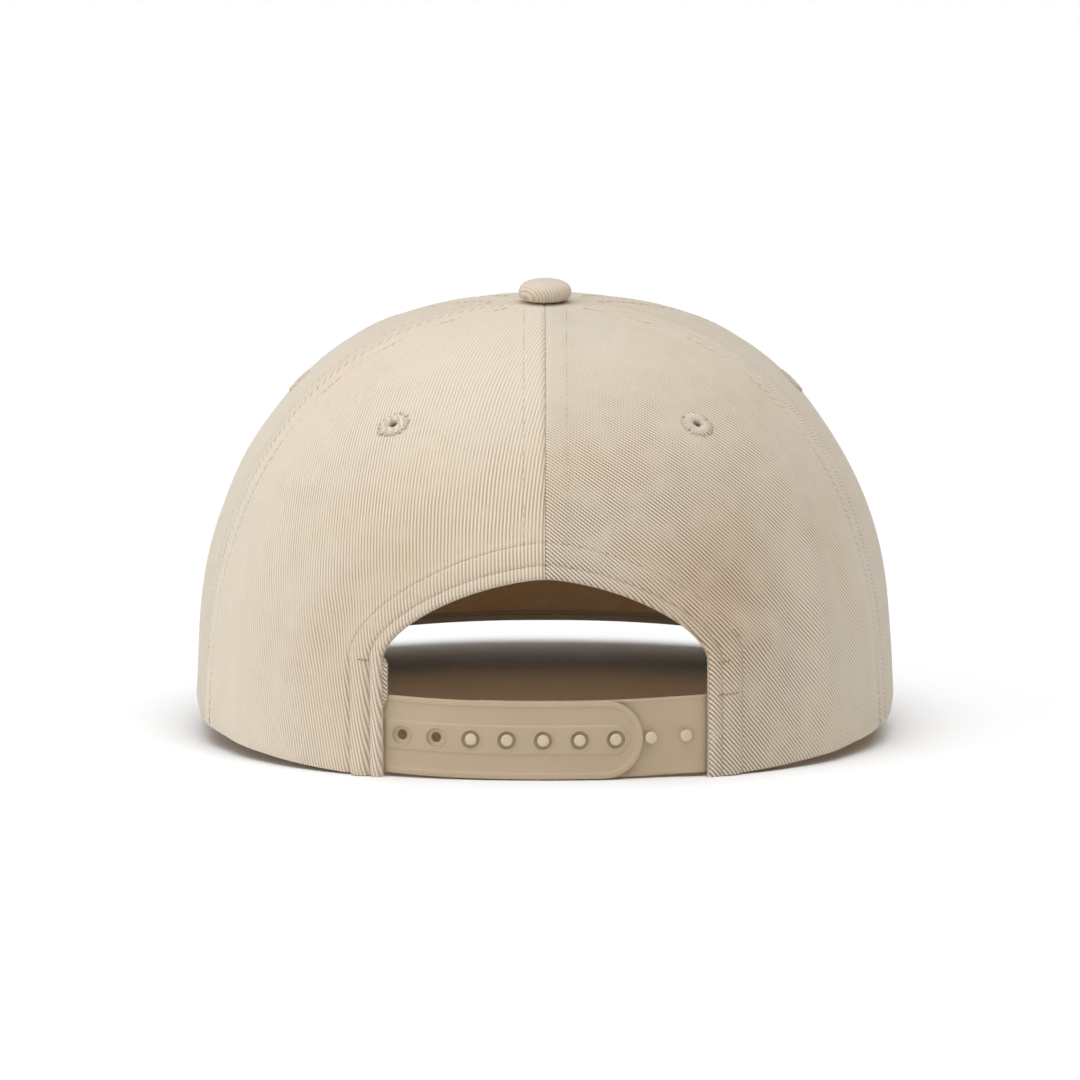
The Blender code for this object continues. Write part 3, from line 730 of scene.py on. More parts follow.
def overcast_tree():
    """Copies of one looped thread set round a centre, each a little longer or shorter."""
    tree, given = new_tree("overcast_ring", (
        ("Count", "Int", 40), ("Thread", "Float", 0.0002), ("Unevenness", "Float", 0.08),
        ("Seed", "Int", 0), ("Finish", "Material", None)))
    path = fed(tree, "GeometryNodeMeshToCurve", {0: given["Geometry"]})
    section = fed(tree, "GeometryNodeCurvePrimitiveCircle", {"Resolution": 5, "Radius": given["Thread"]})
    thread = fed(tree, "GeometryNodeCurveToMesh", {0: path, 1: section, "Fill Caps": True})
    centres = fed(tree, "GeometryNodePoints", {"Count": given["Count"]})
    turn = calc(tree, "DIVIDE", math.tau, given["Count"])
    spun = times(tree, fed(tree, "GeometryNodeInputIndex"), turn)
    jitter = fed(tree, "FunctionNodeRandomValue", {
        2: -0.035, 3: 0.035, "Seed": given["Seed"]}, 1, data_type="FLOAT")
    rotation = fed(tree, "ShaderNodeCombineXYZ", {"Z": plus(tree, spun, jitter)})
    low = calc(tree, "SUBTRACT", 1.0, given["Unevenness"])
    high = plus(tree, 1.0, given["Unevenness"])
    longer = fed(tree, "FunctionNodeRandomValue", {
        2: low, 3: high, "Seed": plus(tree, given["Seed"], 7.0)}, 1, data_type="FLOAT")
    size = fed(tree, "ShaderNodeCombineXYZ", {"X": longer, "Y": 1.0, "Z": 1.0})
    ring = fed(tree, "GeometryNodeInstanceOnPoints", {
        "Points": centres, "Instance": thread, "Rotation": rotation, "Scale": size})
    end_tree(tree, ring, given["Finish"])
    return tree


RUNNING_STITCH = running_stitch_tree()
OVERCAST_RING = overcast_tree()


def grown(name, data, tree, values):
    """The mesh that a tree makes, with each named input set by its socket's identifier."""
    named = {item.name: item.identifier for item in tree.interface.items_tree
             if item.in_out == "INPUT"}
    data.materials.append(values["Finish"])
    settings = {named[label]: value for label, value in values.items()}
    return baked(name, data, "NODES", {"node_group": tree, **settings})


def stitched(name, rows, finish=SEWING_WITH_SHADE, stitch=STITCH, pitch=STITCH + STITCH_GAP, thread=THREAD):
    """Piece made of rows of stitches; a row lists (point, outward direction) pairs."""
    points, edges, directions = [], [], []
    for row in rows:
        first = len(points)
        points += [tuple(point) for point, _ in row]
        directions += [tuple(direction) for _, direction in row]
        edges += [(k, k + 1) for k in range(first, len(points) - 1)]
    data = bpy.data.meshes.new(name)
    data.from_pydata(points, edges, [])
    facing = data.attributes.new("outward", "FLOAT_VECTOR", "POINT")
    facing.data.foreach_set("vector", np.array(directions, dtype=np.float32).ravel())
    data = grown(name, data, RUNNING_STITCH, {
        "Stitch": stitch, "Pitch": pitch, "Thread": thread, "Finish": finish})
    return add_piece(name, data, finish, sharp=180)


def outer_row(places, lift):
    """Row of stitches on the outer cloth, through places given as (angle, rise)."""
    return [(cloth_point(angle, rise, lift), crown_normal(angle, rise)) for angle, rise in places]


def inner_row(places, depth):
    """Row of stitches inside the crown, through places given as (angle, rise)."""
    return [(crown_point(angle, rise, depth), -crown_normal(angle, rise)) for angle, rise in places]


def beside_seam(seam, side, foot, top, count):
    """Places (angle, rise) along one side of a seam of the crown."""
    rises = [foot + (top - foot) * share for share in shares(count)]
    return [(seam + side * SEAM_ROW / outer_point(seam, rise).xy.length, rise) for rise in rises]


# ---- panels

def meridian(angle):
    """Function that gives the length of cloth from the rim up to a rise, at an angle."""
    rises = np.linspace(0.0, 1.0, 160)
    points = np.array([outer_point(angle, rise) for rise in rises])
    lengths = np.concatenate([[0.0], np.cumsum(np.linalg.norm(np.diff(points, axis=0), axis=1))])
    return lambda rise: float(np.interp(rise, rises, lengths))


def squeezed(angle, rise, start, end):
    """The angle, moved so that the panel stops just short of the seams at its sides."""
    clear = math.asin(0.5 * SEAM_GAP / outer_point(angle, rise).xy.length)
    share = (angle - start) / (end - start)
    return start + clear + share * (end - start - 2.0 * clear)


def eyelet_hole(start, end):
    """Test that keeps the faces of a panel clear of its eyelet."""
    centre = cloth_point(0.5 * (start + end), EYELET_RISE)
    return lambda point: (point - centre).length > 2.1 * MM


def cloth_uv(angle, rise, start, end, climb):
    """Cloth coordinates of a crown panel: across from its middle line, and up from the rim."""
    middle = 0.5 * (start + end)
    return (angle - middle) * outer_point(angle, rise).xy.length, climb(rise)


def gore_panel(start, end, foot=0.0, tip_radius=PANEL_TIP_RADIUS, columns=84, rows=96, depth=None):
    """Sheet between two seams, with closer columns next to them."""
    tip = rise_at_radius(tip_radius)
    climb = meridian(0.5 * (start + end))

    def place(i, j):
        share = 2.0 * i / columns - 1.0
        share = math.copysign(1.0 - (1.0 - abs(share)) ** 1.5, share)
        rise = foot + (tip - foot) * (j / rows) ** 1.2
        angle = squeezed(0.5 * (start + end) + 0.5 * share * (end - start), rise, start, end)
        point = cloth_point(angle, rise) if depth is None else crown_point(angle, rise, depth)
        return point, cloth_uv(angle, rise, start, end, climb)
    return sheet_mesh("gore", place, columns, rows, eyelet_hole(start, end))


def hem_profile():
    """Rows of the hem from its turned-in edge outwards: (cloth distance, grow, depth)."""
    rows = [(HEM_FOLD - HEM_TURN, 0.0, HEM_TURN), (0.5 * (HEM_FOLD - HEM_TURN), 0.0, 1.5 * HEM_FOLD)]
    for k in range(6):
        turn = 0.5 * math.pi * k / 5
        grow = HEM_FOLD * (1.0 - math.cos(turn))
        rows.append((grow, grow, HEM_FOLD * (1.0 - math.sin(turn))))
    steps = 26
    for k in range(1, steps + 1):
        grow = HEM_FOLD + (HEM_STRIP - HEM_FOLD) * k / steps
        rows.append((grow, grow, 0.0))
    return rows


def rear_panel(sign, columns=118, rows=66):
    """Rear gore whose mesh follows the opening's outline and ends on the seams."""
    start, end = sorted((0.0, sign * REAR_SEAM))
    tip = rise_at_radius(PANEL_TIP_RADIUS)
    climb = meridian(0.5 * REAR_SEAM)
    hem = hem_profile()

    def flat(angle, rise):
        reach = 1.0 - rise / tip
        return np.array((reach * math.sin(angle), reach * math.cos(angle)))

    inner_foot, inner_top = flat(*arch_place(0.0, HEM_STRIP)), flat(*arch_place(0.5, HEM_STRIP))
    outer_foot, outer_top = flat(REAR_SEAM, 0.0), flat(REAR_SEAM, tip)
    foot_angle = arch_place(0.0, HEM_STRIP)[0]
    top_rise = arch_place(0.5, HEM_STRIP)[1]

    def patch(s, t):
        """Point between the hem strip and the side seam, blended from the four edges."""
        inner, outer = flat(*arch_place(0.5 * s, HEM_STRIP)), flat(REAR_SEAM, s * tip)
        foot = flat(foot_angle + t * (REAR_SEAM - foot_angle), 0.0)
        top = flat(0.0, top_rise + t * (tip - top_rise))
        corners = ((1 - s) * ((1 - t) * inner_foot + t * outer_foot)
                   + s * ((1 - t) * inner_top + t * outer_top))
        across, along = (1 - t) * inner + t * outer + (1 - s) * foot + s * top - corners
        rise = tip * min(max(1.0 - math.hypot(across, along), 0.0), 1.0)
        return math.atan2(across, along), rise

    def place(i, j):
        s = 1.0 - (1.0 - i / columns) ** 1.3
        depth, beyond = 0.0, 0.0
        if j < len(hem):
            distance, grow, depth = hem[j]
            beyond = distance - grow
            angle, rise = arch_place(0.5 * s, grow)
        else:
            t = (j - len(hem) + 1) / rows
            angle, rise = patch(s, 1.0 - (1.0 - t) ** 1.35)
        angle = squeezed(sign * angle, rise, start, end)
        u, v = cloth_uv(angle, rise, start, end, climb)
        return cloth_point(angle, rise, -depth), (u + sign * beyond, v + beyond)

    data = sheet_mesh("rear_gore", place, columns, len(hem) + rows - 1, eyelet_hole(start, end))
    if sign > 0:
        data.flip_normals()
    return data


def build_panels():
    for name, (start, end) in PANELS.items():
        side = 1 if name.endswith("left") else -1
        data = rear_panel(side) if name.startswith("rear") else gore_panel(start, end)
        finish = TWILL_REAR_LEFT if name == "rear_left" else TWILL
        piece = add_piece(f"{name}_cloth", thickened(name, data, FABRIC), finish,
                          [f"{name}_panel"])
        if name.startswith("front"):
            lining = gore_panel(start, end, rise_at(0.001), BUCKRAM_TIP_RADIUS, 24, 30, LINING_DEPTH)
            lining = thickened(f"{name}_lining", lining, BUCKRAM)
            piece = add_piece(f"{name}_stiffening", lining, STIFFENING,
                              [f"{name}_buckram"])


def seam_stitches():
    """Two rows beside each seam of the crown, and the fine seam itself."""
    rows, ladder = [], []
    arch_top = OPENING_SIDE + OPENING_ARCH
    for name, seam in SEAMS.items():
        above_arch = name == "rear_centre"
        foot = rise_at(arch_top + HEM_ROWS[1]) if above_arch else 0.004
        for side in (-1, 1):
            rows.append(outer_row(beside_seam(seam, side, foot, rise_at_radius(0.012), 120), 0.04 * MM))
        foot = rise_at(arch_top + 0.5 * MM) if above_arch else 0.003
        rises = [foot + (rise_at_radius(0.008) - foot) * share for share in shares(120)]
        ladder.append([(crown_point(seam, rise, SEAM_DIP + 0.1 * MM), crown_normal(seam, rise))
                       for rise in rises])
    stitched("crown_stitches", rows)
    stitched("seam_threads", ladder, stitch=0.6 * MM, pitch=1.1 * MM, thread=0.3 * MM)


def hem_stitches():
    """Two rows round the opening, and the short tacks beside its edges."""
    rows, tacks = [], []
    for grow in HEM_ROWS:
        alongs = [HEM_ROW_START + (1.0 - 2.0 * HEM_ROW_START) * share for share in shares(180)]
        rows.append(outer_row([arch_place(along, grow) for along in alongs], 0.05 * MM))
    for start, end, height in ((-42.6, -45.0, 28.2), (-42.8, -47.0, 20.2), (43.5, 45.5, 28.5)):
        rise = rise_at(height * MM)
        acrosses = [(start + (end - start) * share) * MM for share in shares(8)]
        tacks.append(outer_row([(rear_angle(x, rise), rise) for x in acrosses], 0.05 * MM))
    stitched("hem_stitches", rows)
    stitched("tack_stitches", tacks, finish=TACK_SHADOW_THREAD, stitch=0.7 * MM, pitch=0.85 * MM, thread=0.4 * MM)


# ---- inside the crown

def build_tapes():
    """Folded tape over each seam inside, slightly rounded, with its two rows of stitches."""
    top = rise_at_radius(TAPE_TIP_RADIUS)
    narrowest = FRONT_SEAM - REAR_SEAM
    bulge = 0.25 * MM
    face = TAPE_DEPTH + TAPE
    sides = [m / 4.0 - 1.0 for m in range(9)]
    outline = [(side, face - bulge * abs(side) ** 6) for side in sides]
    outline += [(side, TAPE_DEPTH) for side in reversed(sides)]
    rows = []
    for name, seam in SEAMS.items():
        foot = 0.002
        if name == "rear_centre":
            foot = OPENING_SIDE + OPENING_ARCH + FACING_WIDTH + 0.6 * MM
        foot = rise_at(foot)

        def ring_at(share):
            rise = foot + (top - foot) * share
            radius = outer_point(seam, rise).xy.length
            half = min(math.atan(0.5 * TAPE_WIDTH / radius), 0.5 * narrowest - math.asin(GAP / radius))
            return [(crown_point(seam + side * half, rise, depth),
                     (side * 0.5 * TAPE_WIDTH, rise * 0.15)) for side, depth in outline]

        data = loft_mesh(name, shares(60), ring_at)
        piece = add_piece(f"{name}_tape", data, TAPE_WEAVE, [f"{name}_seam_tape"])
        for side in (-1, 1):
            rows.append(inner_row(beside_seam(seam, side, foot, rise_at_radius(0.013), 80), face))
    stitched("tape_stitches", rows)


def band_place(share, height, clear):
    """(angle, rise) on the way round the rim from one side of the opening to the other."""
    rise = rise_at(height)
    start = rear_angle(OPENING_HALF_WIDTH + clear, rise)
    return start + (math.tau - 2.0 * start) * share, rise


def build_sweatband():
    """Soft folded band inside the rim, with a row of stitches near each edge."""
    half = 0.5 * SWEATBAND
    inside = SWEATBAND_DEPTH + SWEATBAND
    row_heights = (4.0 * MM, 28.0 * MM)

    def heights(count):
        return [0.8 * MM + (SWEATBAND_HEIGHT - 1.6 * MM) * share for share in shares(count)]

    profile = [(height, SWEATBAND_DEPTH) for height in heights(6)]
    profile += [(SWEATBAND_HEIGHT - 0.2 * MM, SWEATBAND_DEPTH + 0.3 * half),
                (SWEATBAND_HEIGHT, SWEATBAND_DEPTH + half),
                (SWEATBAND_HEIGHT - 0.2 * MM, SWEATBAND_DEPTH + 1.7 * half)]
    for height in reversed(heights(12)):
        dip = 0.25 * MM * sum(bell(height - row, 0.8 * MM) for row in row_heights)
        profile.append((height, inside - dip))
    profile += [(0.3 * MM, SWEATBAND_DEPTH + 1.6 * half), (0.3 * MM, SWEATBAND_DEPTH + 0.4 * half)]

    def ring_at(share):
        return [(crown_point(*band_place(share, height, SWEATBAND_END), depth),
                 (0.58 * share, height + depth)) for height, depth in profile]

    data = loft_mesh("sweatband", shares(200), ring_at)
    piece = add_piece("sweatband_cloth", data, BAND_TWILL, ["sweatband"])
    rows = []
    for height in row_heights:
        places = [band_place(share, height, SWEATBAND_END + MM) for share in shares(240)]
        rows.append(inner_row(places, inside - 0.15 * MM))
    stitched("sweatband_stitches", rows)


def build_facing():
    """Bias strip behind the hem of the opening."""
    grows = (1.0 * MM, 5.0 * MM, 10.6 * MM)
    profile = [(grow, LINING_DEPTH) for grow in grows]
    profile.append((FACING_WIDTH, LINING_DEPTH + 0.5 * FACING))
    profile += [(grow, LINING_DEPTH + FACING) for grow in reversed(grows)]

    def ring_at(share):
        loose = 2.0 * MM * min(1.7 * bell(share - LOOSE_FACING, 0.04), 1.0)
        ring = []
        for grow, depth in profile:
            reach = grow - (loose if grow < 2.0 * MM else 0.0)
            x, height = arch_point(share, reach)
            ring.append((rear_point(x, max(height, 0.2 * MM), depth), (0.15 * share, reach + depth)))
        return ring

    data = loft_mesh("facing", shares(120), ring_at)
    piece = add_piece("opening_strip", data, TWILL, ["opening_facing"])


# ---- eyelets and button

def upright_frame(point, normal):
    across = Vector((0, 0, 1)).cross(normal).normalized()
    upwards = normal.cross(across)
    axes = Matrix((across, upwards, normal)).transposed().to_4x4()
    return Matrix.Translation(point) @ axes


def build_eyelets():
    """Rings of overcast thread that wrap the cloth round each vent hole."""
    for number, (name, (start, end)) in enumerate(PANELS.items()):
        stack = FABRIC + (GAP + BUCKRAM if name.startswith("front") else 0.0)
        middle = 0.5 * (start + end)
        crest, outer, bore = 0.32 * MM, EYELET_RADIUS, EYELET_BORE
        loop = [(outer, -0.15 * MM), (outer - 0.3 * MM, 0.20 * MM), (0.62 * outer, crest),
                (bore + 0.25 * MM, 0.30 * MM), (bore, -0.5 * stack),
                (bore + 0.25 * MM, -stack - 0.30 * MM), (0.62 * outer, -stack - crest),
                (outer - 0.3 * MM, -stack - 0.28 * MM), (outer, -stack + 0.1 * MM)]
        path = bpy.data.meshes.new(f"{name}_loop")
        path.from_pydata([(radius, 0, height) for radius, height in loop],
                         [(k, k + 1) for k in range(len(loop) - 1)], [])
        threads = grown(name, path, OVERCAST_RING, {
            "Count": 50, "Thread": 0.26 * MM, "Unevenness": 0.12, "Seed": number, "Finish": OVERCAST})
        slim = 0.12 * MM
        core = turned_mesh(f"{name}_core", [
            (bore + slim, 0.2 * MM), (0.62 * outer, crest - slim), (outer - 0.35 * MM, 0.1 * MM),
            (outer - 0.35 * MM, -stack - 0.1 * MM), (0.62 * outer, -stack - crest + slim),
            (bore + slim, -stack - 0.2 * MM)], 40, closed=True)
        data = joined(name, [threads, core])
        oval = Matrix.Rotation(math.radians(28 if start >= 0 else -28), 4, "Z") @ Matrix.Diagonal(
            (1.06, 0.94, 1.0, 1.0))
        frame_here = upright_frame(cloth_point(middle, EYELET_RISE), crown_normal(middle, EYELET_RISE))
        data.transform(frame_here @ oval)
        add_piece(f"{name}_eyelet_ring", data, OVERCAST, [f"{name}_eyelet"], sharp=180)


def build_button():
    """Cloth stretched over the button's shell and pleated in underneath."""
    waist, curl = 2.1 * MM, 4.6 * MM
    over = 0.72                    # share of the cloth that lies over the shell

    def profile(share):
        if share < over:
            turn = 0.5 * math.pi * share / over
            radius = BUTTON_RADIUS * math.sin(turn) ** 0.86
            return radius, waist + (BUTTON_HEIGHT - waist) * math.cos(turn) ** 0.80
        turn = 0.5 * math.pi * (share - over) / (1.0 - over)
        return BUTTON_RADIUS - (BUTTON_RADIUS - curl) * (1 - math.cos(turn)), waist * (1 - math.sin(turn))

    def ring_at(share):
        radius, height = profile(share)
        pleat = smooth(share, 0.55, 1.0) * 0.16 * MM
        stretch = radius + max(BUTTON_HEIGHT - height, 0.0) * 0.5
        ring = []
        for turn in (math.tau * part for part in shares(64)[:-1]):
            wavy = radius + pleat * math.sin(14 * turn + 0.7 * math.sin(3 * turn))
            ring.append(((wavy * math.cos(turn), wavy * math.sin(turn), height),
                         (-stretch * math.cos(turn), stretch * math.sin(turn))))
        return ring

    data = loft_mesh("button", shares(22)[1:], ring_at, open_end=True)
    data = thickened("button", data, 0.0005)
    data.transform(Matrix.Translation((0, 0, CROWN_HEIGHT + GAP)))
    piece = add_piece("button_cloth", data, TWILL, ["button_cover"], sharp=60)


# ---- visor

def visor_width(turn):
    return VISOR_LENGTH * math.cos(0.5 * math.pi * turn / VISOR_HALF_ANGLE) ** VISOR_FULLNESS


def visor_point(turn, reach, level):
    inner = crown_point(math.pi - turn, 0.0, VISOR_TUCK)
    share = (turn / VISOR_HALF_ANGLE) ** 2
    slope = VISOR_SLOPE + share * (VISOR_SIDE_SLOPE - VISOR_SLOPE)
    heading = VISOR_SPREAD * turn
    outwards = Vector((math.sin(heading), -math.cos(heading), -math.tan(slope)))
    return inner + reach * outwards - Vector((0, 0, GAP + level))


def visor_insets():
    return [VISOR_FIRST_ROW + VISOR_ROW_PITCH * k for k in range(VISOR_ROWS)]


def visor_puff(inset):
    """Dip along the stitched rows and the slight puff between them."""
    dip = sum(bell(inset - row, 0.5 * MM) for row in visor_insets())
    return 0.06 * MM - 0.16 * MM * dip


def visor_end_turn():
    share = (VISOR_END_WIDTH / VISOR_LENGTH) ** (1.0 / VISOR_FULLNESS)
    return VISOR_HALF_ANGLE * math.acos(share) / (0.5 * math.pi)


def visor_cover(top, columns=120, rows=84):
    """One cover of the visor, from under the crown out to the middle of the rounded edge."""
    end = visor_end_turn()
    edge = 0.5 * VISOR_THICKNESS - 0.05 * MM

    def place(i, j):
        share = min(max((i - 1) / (columns - 2), 0.0), 1.0)
        turn = end * math.sin(0.5 * math.pi * (2.0 * share - 1.0))
        width = visor_width(turn) + VISOR_TUCK
        flat_rows = rows - 10
        closing = ((-0.5, edge / MM), (-0.5, 0.5), (-0.4, 0.12), (-0.2, 0.0))
        if j < len(closing):
            reach, level = (MM * part for part in closing[j])
        elif j <= flat_rows:
            reach = (width - edge) * (j - len(closing)) / (flat_rows - len(closing))
            level = -visor_puff(width - reach) * smooth(reach, 0.0, 3.0 * MM)
        else:
            bend = 0.5 * math.pi * (j - flat_rows) / 10
            reach = width - edge + edge * math.sin(bend)
            level = edge * (1.0 - math.cos(bend))
        if i in (0, columns):
            turn *= VISOR_END_WRAP
            level = edge
        if not top:
            level = VISOR_THICKNESS - level
        point = visor_point(turn, reach, level)
        return point, ((0.0, 0.0) if j < len(closing) else (-point.x, -point.y))

    data = sheet_mesh("visor_cover", place, columns, rows)
    if not top:
        data.flip_normals()
    return data


def build_visor():
    for name, top in (("visor_top", True), ("visor_under", False)):
        data = thickened(name, visor_cover(top), 0.0007)
        piece = add_piece(f"{name}_cloth", data, TWILL, [f"{name}_cover"])
    rows = []
    for inset in visor_insets():
        for level, up in ((0.02 * MM, 1), (VISOR_THICKNESS - 0.02 * MM, -1)):
            row = []
            for share in shares(160):
                turn = visor_end_turn() * (2.0 * share - 1.0)
                reach = visor_width(turn) + VISOR_TUCK - inset
                if reach >= 4.0 * MM:
                    row.append((visor_point(turn, reach, level), (0, 0, up)))
            rows.append(row)
    stitched("visor_stitches", rows, stitch=2.4 * MM, pitch=3.0 * MM)


# ---- snap straps

def strap_lengths():
    across = np.linspace(0.0, OPENING_HALF_WIDTH + 2.0 * TAB_LENGTH, 200)
    points = np.array([rear_point(x, STRAP_MIDDLE, 0.0) for x in across])
    steps = np.linalg.norm(np.diff(points, axis=0), axis=1)
    return across, np.concatenate([[0.0], np.cumsum(steps)])


STRAP_ACROSS, STRAP_ARC = strap_lengths()
HINGE = float(np.interp(OPENING_HALF_WIDTH, STRAP_ACROSS, STRAP_ARC)) - STRAP_CLEAR


def strap_x(distance):
    """How far to the left a point is that lies a distance round the rear of the crown."""
    return math.copysign(float(np.interp(abs(distance), STRAP_ARC, STRAP_ACROSS)), distance)


def strap_point(distance, height, depth):
    return rear_point(strap_x(distance), STRAP_MIDDLE + height, depth)


def snap_distance(place):
    return SNAP_OFFSET + place * SNAP_PITCH


def snap_frame(place, depth):
    distance = snap_distance(place)
    rise = rise_at(STRAP_MIDDLE)
    normal = crown_normal(rear_angle(strap_x(distance), rise), rise)
    return upright_frame(strap_point(distance, 0.0, depth), normal)


def strap_mesh(name, side, end, depth_at, front, straight=64, turns=22):
    """Strap from the foot of its sewn tab to its round end.

    Each line runs along the top edge, round the end and back along the bottom edge; front lists
    (distance in from the edge, shift of its round end, depth under the strap's face), in
    millimetres, after the rounded edge that all straps have."""
    root = side * (HINGE + TAB_LENGTH)
    heading = -side
    outer_centre = end - heading * STRAP_HALF
    columns = 2 * straight + turns

    def thin(distance):
        """Share by which the strap has thinned into its tab."""
        return smooth(side * distance - HINGE, -0.6 * MM, 0.6 * MM)

    def place(column, half, centre, depth, back):
        if column <= straight:
            distance, height = root + (centre - root) * column / straight, half
        elif column >= straight + turns:
            distance = root + (centre - root) * (columns - column) / straight
            height = -half
        else:
            turn = math.pi * (column - straight) / turns
            distance = centre + heading * half * math.sin(turn)
            height = half * math.cos(turn)
        share = thin(distance)
        face = depth_at(distance)
        plain = face + (STRAP if back else depth)
        tab = TAB_DEPTH + (TAB if back else 0.0)
        return strap_point(distance, height, plain + share * (tab - plain))

    lines = [(0.0, outer_centre, 0.0, True)]
    lines += [(STRAP_HALF - 0.25 * MM, outer_centre, 0.0, True)]
    for inset, shift, depth in ((0, 0, 0.55), (0, 0, 0.28), (0.10, 0, 0.07), (0.28, 0, 0), *front):
        lines.append((STRAP_HALF - inset * MM, outer_centre + heading * shift * MM, depth * MM, False))
    points = [place(column, *line) for line in lines for column in range(columns + 1)]
    mesh = bmesh.new()
    mesh.from_mesh(mesh_from(name, points, grid_faces(len(lines) - 1, columns)))
    bmesh.ops.remove_doubles(mesh, verts=mesh.verts, dist=1e-6)
    rim = [edge for edge in mesh.edges if len(edge.link_faces) == 1]
    bmesh.ops.contextual_create(mesh, geom=rim)
    return finished(name, mesh)


def cut_by(name, data, cutter):
    """The mesh with another taken out of it."""
    helper = placed("helper", cutter)
    result = baked(name, data, "BOOLEAN", {
        "operation": "DIFFERENCE", "solver": "EXACT", "object": helper})
    bpy.data.objects.remove(helper)
    return result


def add_strap(name, side, data):
    """Puts a strap where it belongs."""
    piece = add_piece(f"{name}_moulding", data, PLASTIC, [name, f"{name}_tab"],
                      sharp=50, body=None)
    start, end = [CAP @ strap_point(side * (HINGE + offset), 0.0, STRAP_DEPTH)
                  for offset in (0.5 * MM, -2.5 * MM)]
    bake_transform(piece)
    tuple(start)
    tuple(end)


def build_hole_strap():
    """Outer strap: a raised rim, a raised band along its middle, and a lipped recess at each hole."""
    end = snap_distance(min(HOLE_PLACES)) - STRAP_END
    rim, floor = 1.5, 0.36
    band = STRAP_HALF / MM - 3.55
    shift = (STRAP_HALF - STRAP_END) / MM
    front = [
        (rim - 0.22, 0, 0), (rim - 0.08, 0, 0.06), (rim + 0.10, 0, floor - 0.06), (rim + 0.25, 0, floor),
        (band - 2.65, 0.3 * shift, floor), (band - 0.9, 0.8 * shift, floor), (band - 0.25, shift, floor),
        (band - 0.10, shift, floor - 0.05), (band + 0.08, shift, 0.06), (band + 0.22, shift, 0),
        (band + 0.65, shift, 0), (STRAP_HALF / MM, shift, 0),
    ]
    data = strap_mesh("hole_strap", 1, end, lambda distance: STRAP_DEPTH, front)
    step = 0.10 * MM
    profile = [(0, -2 * STRAP), (SNAP_HOLE, -2 * STRAP), (SNAP_HOLE, -SNAP_RECESS_DEPTH - step),
               (SNAP_HOLE + step, -SNAP_RECESS_DEPTH), (SNAP_RECESS - step, -SNAP_RECESS_DEPTH),
               (SNAP_RECESS, -SNAP_RECESS_DEPTH + step), (SNAP_RECESS, STRAP), (0, STRAP)]
    lip = [(SNAP_RECESS, -2 * step), (SNAP_RECESS + 0.02 * MM, step),
           (SNAP_RECESS + 0.5 * SNAP_LIP, 1.9 * step), (SNAP_RECESS + SNAP_LIP, step),
           (SNAP_RECESS + 1.2 * SNAP_LIP, -2 * step)]
    holes, lips = [], []
    for place in HOLE_PLACES:
        for made, outline, closed in ((holes, profile, False), (lips, lip, True)):
            turned = turned_mesh("hole", outline, 28, closed)
            turned.transform(snap_frame(place, STRAP_DEPTH))
            made.append(turned)
    data = cut_by("hole_strap", data, joined("holes", holes))
    add_strap("hole_strap", 1, joined("hole_strap", [data, *lips]))


def build_peg_strap():
    end = snap_distance(max(PEG_PLACES)) + STRAP_END
    root = -HINGE

    def depth_at(distance):
        share = smooth(distance, root, root + STRAP_LAP)
        return STRAP_DEPTH + (PEG_STRAP_DEPTH - STRAP_DEPTH) * share

    rim, floor = 0.9, 0.22
    front = [(rim - 0.15, 0, 0), (rim, 0, 0.06), (rim + 0.14, 0, floor - 0.05), (rim + 0.30, 0, floor),
             (STRAP_HALF / MM - 5.0, 0, floor), (STRAP_HALF / MM, 0, floor)]
    add_strap("peg_strap", -1, strap_mesh("peg_strap", -1, end, depth_at, front))
    pegs = []
    profile = [(0, -0.35 * MM), (PEG_STEM, -0.35 * MM), (PEG_STEM, PEG_NECK - 0.1 * MM),
               (PEG_HEAD - 0.1 * MM, PEG_NECK), (PEG_HEAD, PEG_NECK + 0.12 * MM),
               (PEG_HEAD, PEG_NECK + 0.26 * MM), (PEG_HEAD - 0.09 * MM, PEG_TOP - 0.17 * MM),
               (PEG_HEAD - 0.32 * MM, PEG_TOP - 0.05 * MM), (0.5 * PEG_HEAD, PEG_TOP), (0, PEG_TOP)]
    for place in PEG_PLACES:
        peg = turned_mesh("peg", profile, 28)
        peg.transform(snap_frame(place, depth_at(snap_distance(place))))
        pegs.append(peg)
    add_piece("peg_strap_pegs", joined("pegs", pegs), PEG_PLASTIC, sharp=50,
              body="peg_strap")


# ---- stage, light and camera

def aim(thing, place, target):
    thing.location = place
    thing.rotation_euler = (Vector(target) - Vector(place)).to_track_quat("-Z", "Y").to_euler()


def build_camera():
    """Camera behind the cap and a little above it, looking slightly down."""
    lens = bpy.data.cameras.new("camera")
    lens.lens = 165.5
    lens.clip_end = 200.0
    eye = Vector((0.0013, 1.3363, 0.1943))
    pitch = math.radians(6.38)
    camera = placed("camera", lens)
    aim(camera, eye, eye + Vector((0, -math.cos(pitch), -math.sin(pitch))))
    bpy.context.scene.camera = camera


SKY_MEAN = 0.46                    # light that comes from all round
SKY_LEAN = (0.24, 0.26, 0.0)       # how much it grows to the wearer's left and to the rear
OPEN_LIGHT = (0.96, 0.99, 1.0)
WARM_SHADE = (1.0, 0.87, 0.72)
WHITE = (1.0, 1.0, 1.0)
INNER_GLOW = (1.0, 0.66, 0.36)     # light that reaches the inside through the cloth


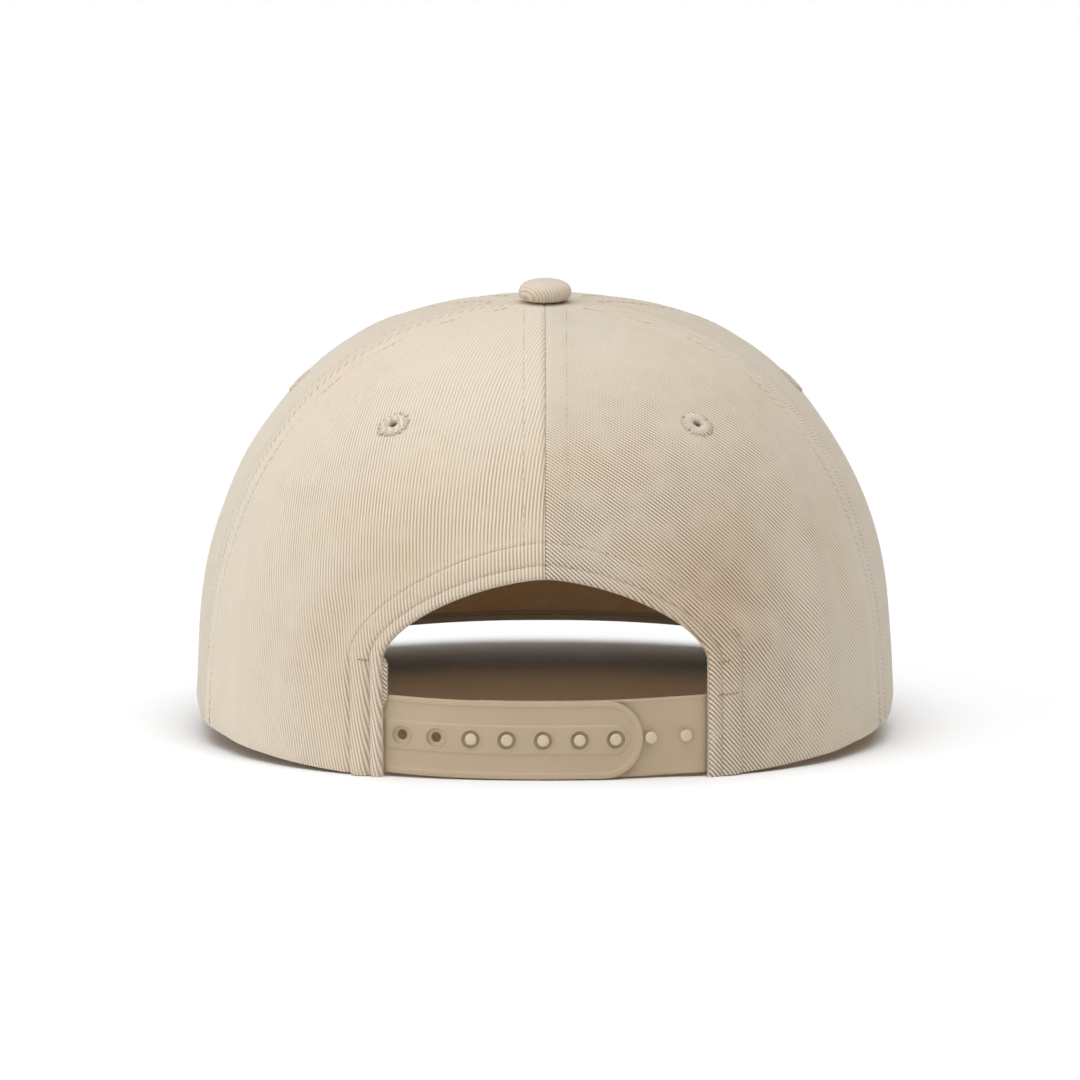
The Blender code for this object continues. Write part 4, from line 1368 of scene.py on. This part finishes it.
def build_sky():
    """White studio that is brighter behind the cap, with warmer light from the wearer's right."""
    world = bpy.data.worlds.new("studio")
    world.use_nodes = True
    tree = world.node_tree
    background = tree.nodes["Background"]
    direction = fed(tree, "ShaderNodeTexCoord", result="Generated")
    leaning = vector_calc(tree, "DOT_PRODUCT", direction, SKY_LEAN, "Value")
    light = calc(tree, "MAXIMUM", plus(tree, leaning, SKY_MEAN), 0.0)
    seen = fed(tree, "ShaderNodeLightPath", result="Is Camera Ray")
    hidden = calc(tree, "SUBTRACT", 1.0, seen)
    sideways = fed(tree, "ShaderNodeSeparateXYZ", {0: direction}, "X")
    share = plus(tree, times(tree, sideways, 0.5), 0.5)
    colour = colour_mix(tree, share, WARM_SHADE, OPEN_LIGHT)
    tree.links.new(colour_mix(tree, seen, colour, WHITE), background.inputs["Color"])
    tree.links.new(calc(tree, "MAXIMUM", times(tree, light, hidden), seen),
                   background.inputs["Strength"])
    bpy.context.scene.world = world
    bpy.context.scene.view_settings.view_transform = "Standard"


def add_lamp(name, kind, energy, colour, place, target=(0, 0, 0), **settings):
    lamp = bpy.data.lights.new(name, kind)
    for key, value in {"energy": energy, "color": colour, **settings}.items():
        setattr(lamp, key, value)
    holder = placed(name, lamp)
    aim(holder, place, target)
    return holder


def build_lights(ground):
    """Cool light from overhead, a side light that leaves the ground alone, and the inner glow."""
    add_lamp("top_light", "SUN", 2.15, (0.96, 1.0, 1.055), (-0.04, 0.16, 0.95), angle=math.radians(70))
    side = add_lamp("side_light", "SUN", 0.65, (1.0, 0.99, 0.97), (0.85, 0.42, 0.34),
                    angle=math.radians(60))
    spared = bpy.data.collections.new("not_side_lit")
    spared.objects.link(ground)
    side.light_linking.receiver_collection = spared
    spared.collection_objects[0].light_linking.link_state = "EXCLUDE"
    glow = add_lamp("inner_glow", "AREA", 0.008, INNER_GLOW, (0, 0.02, 0.088), (0, 0.02, 0),
                    shape="DISK", size=0.10)
    glow.visible_camera = False


def build_floor():
    """Pale ground, of which only the upper side is seen."""
    made, tree, shader = new_finish("pale_floor", 0.8)
    grain = noise_at(tree, object_place(tree), 40.0)
    colour = colour_mix(tree, grain, (0.965, 0.965, 0.965), (0.975, 0.975, 0.975))
    finish_with(tree, shader, colour, grain, 0.00001)
    under = fed(tree, "ShaderNodeNewGeometry", result="Backfacing")
    clear = fed(tree, "ShaderNodeBsdfTransparent")
    mixed = fed(tree, "ShaderNodeMixShader", {0: under, 1: shader.outputs[0], 2: clear})
    tree.links.new(mixed, tree.nodes["Material Output"].inputs["Surface"])
    half = 60.0
    floor = mesh_from("floor", [(-half, -half, 0), (half, -half, 0), (half, half, 0),
                                (-half, half, 0)], [(0, 1, 2, 3)])
    floor.materials.append(made)
    ground = placed("floor", floor)
    return ground


def dress_cad_nodes():
    """Finishes for the hard pieces that keep their exact shape."""
    for name, finish in (("button_shell", METAL), ("button_post", METAL), ("button_washer", METAL),
                         ("visor_board", BOARD)):
        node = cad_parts[name]
        node.data.materials.clear()
        node.data.materials.append(finish)


build_camera()
build_sky()
build_lights(build_floor())
build_panels()
seam_stitches()
hem_stitches()
build_tapes()
build_sweatband()
build_facing()
build_eyelets()
build_button()
build_visor()
build_hole_strap()
build_peg_strap()
dress_cad_nodes()
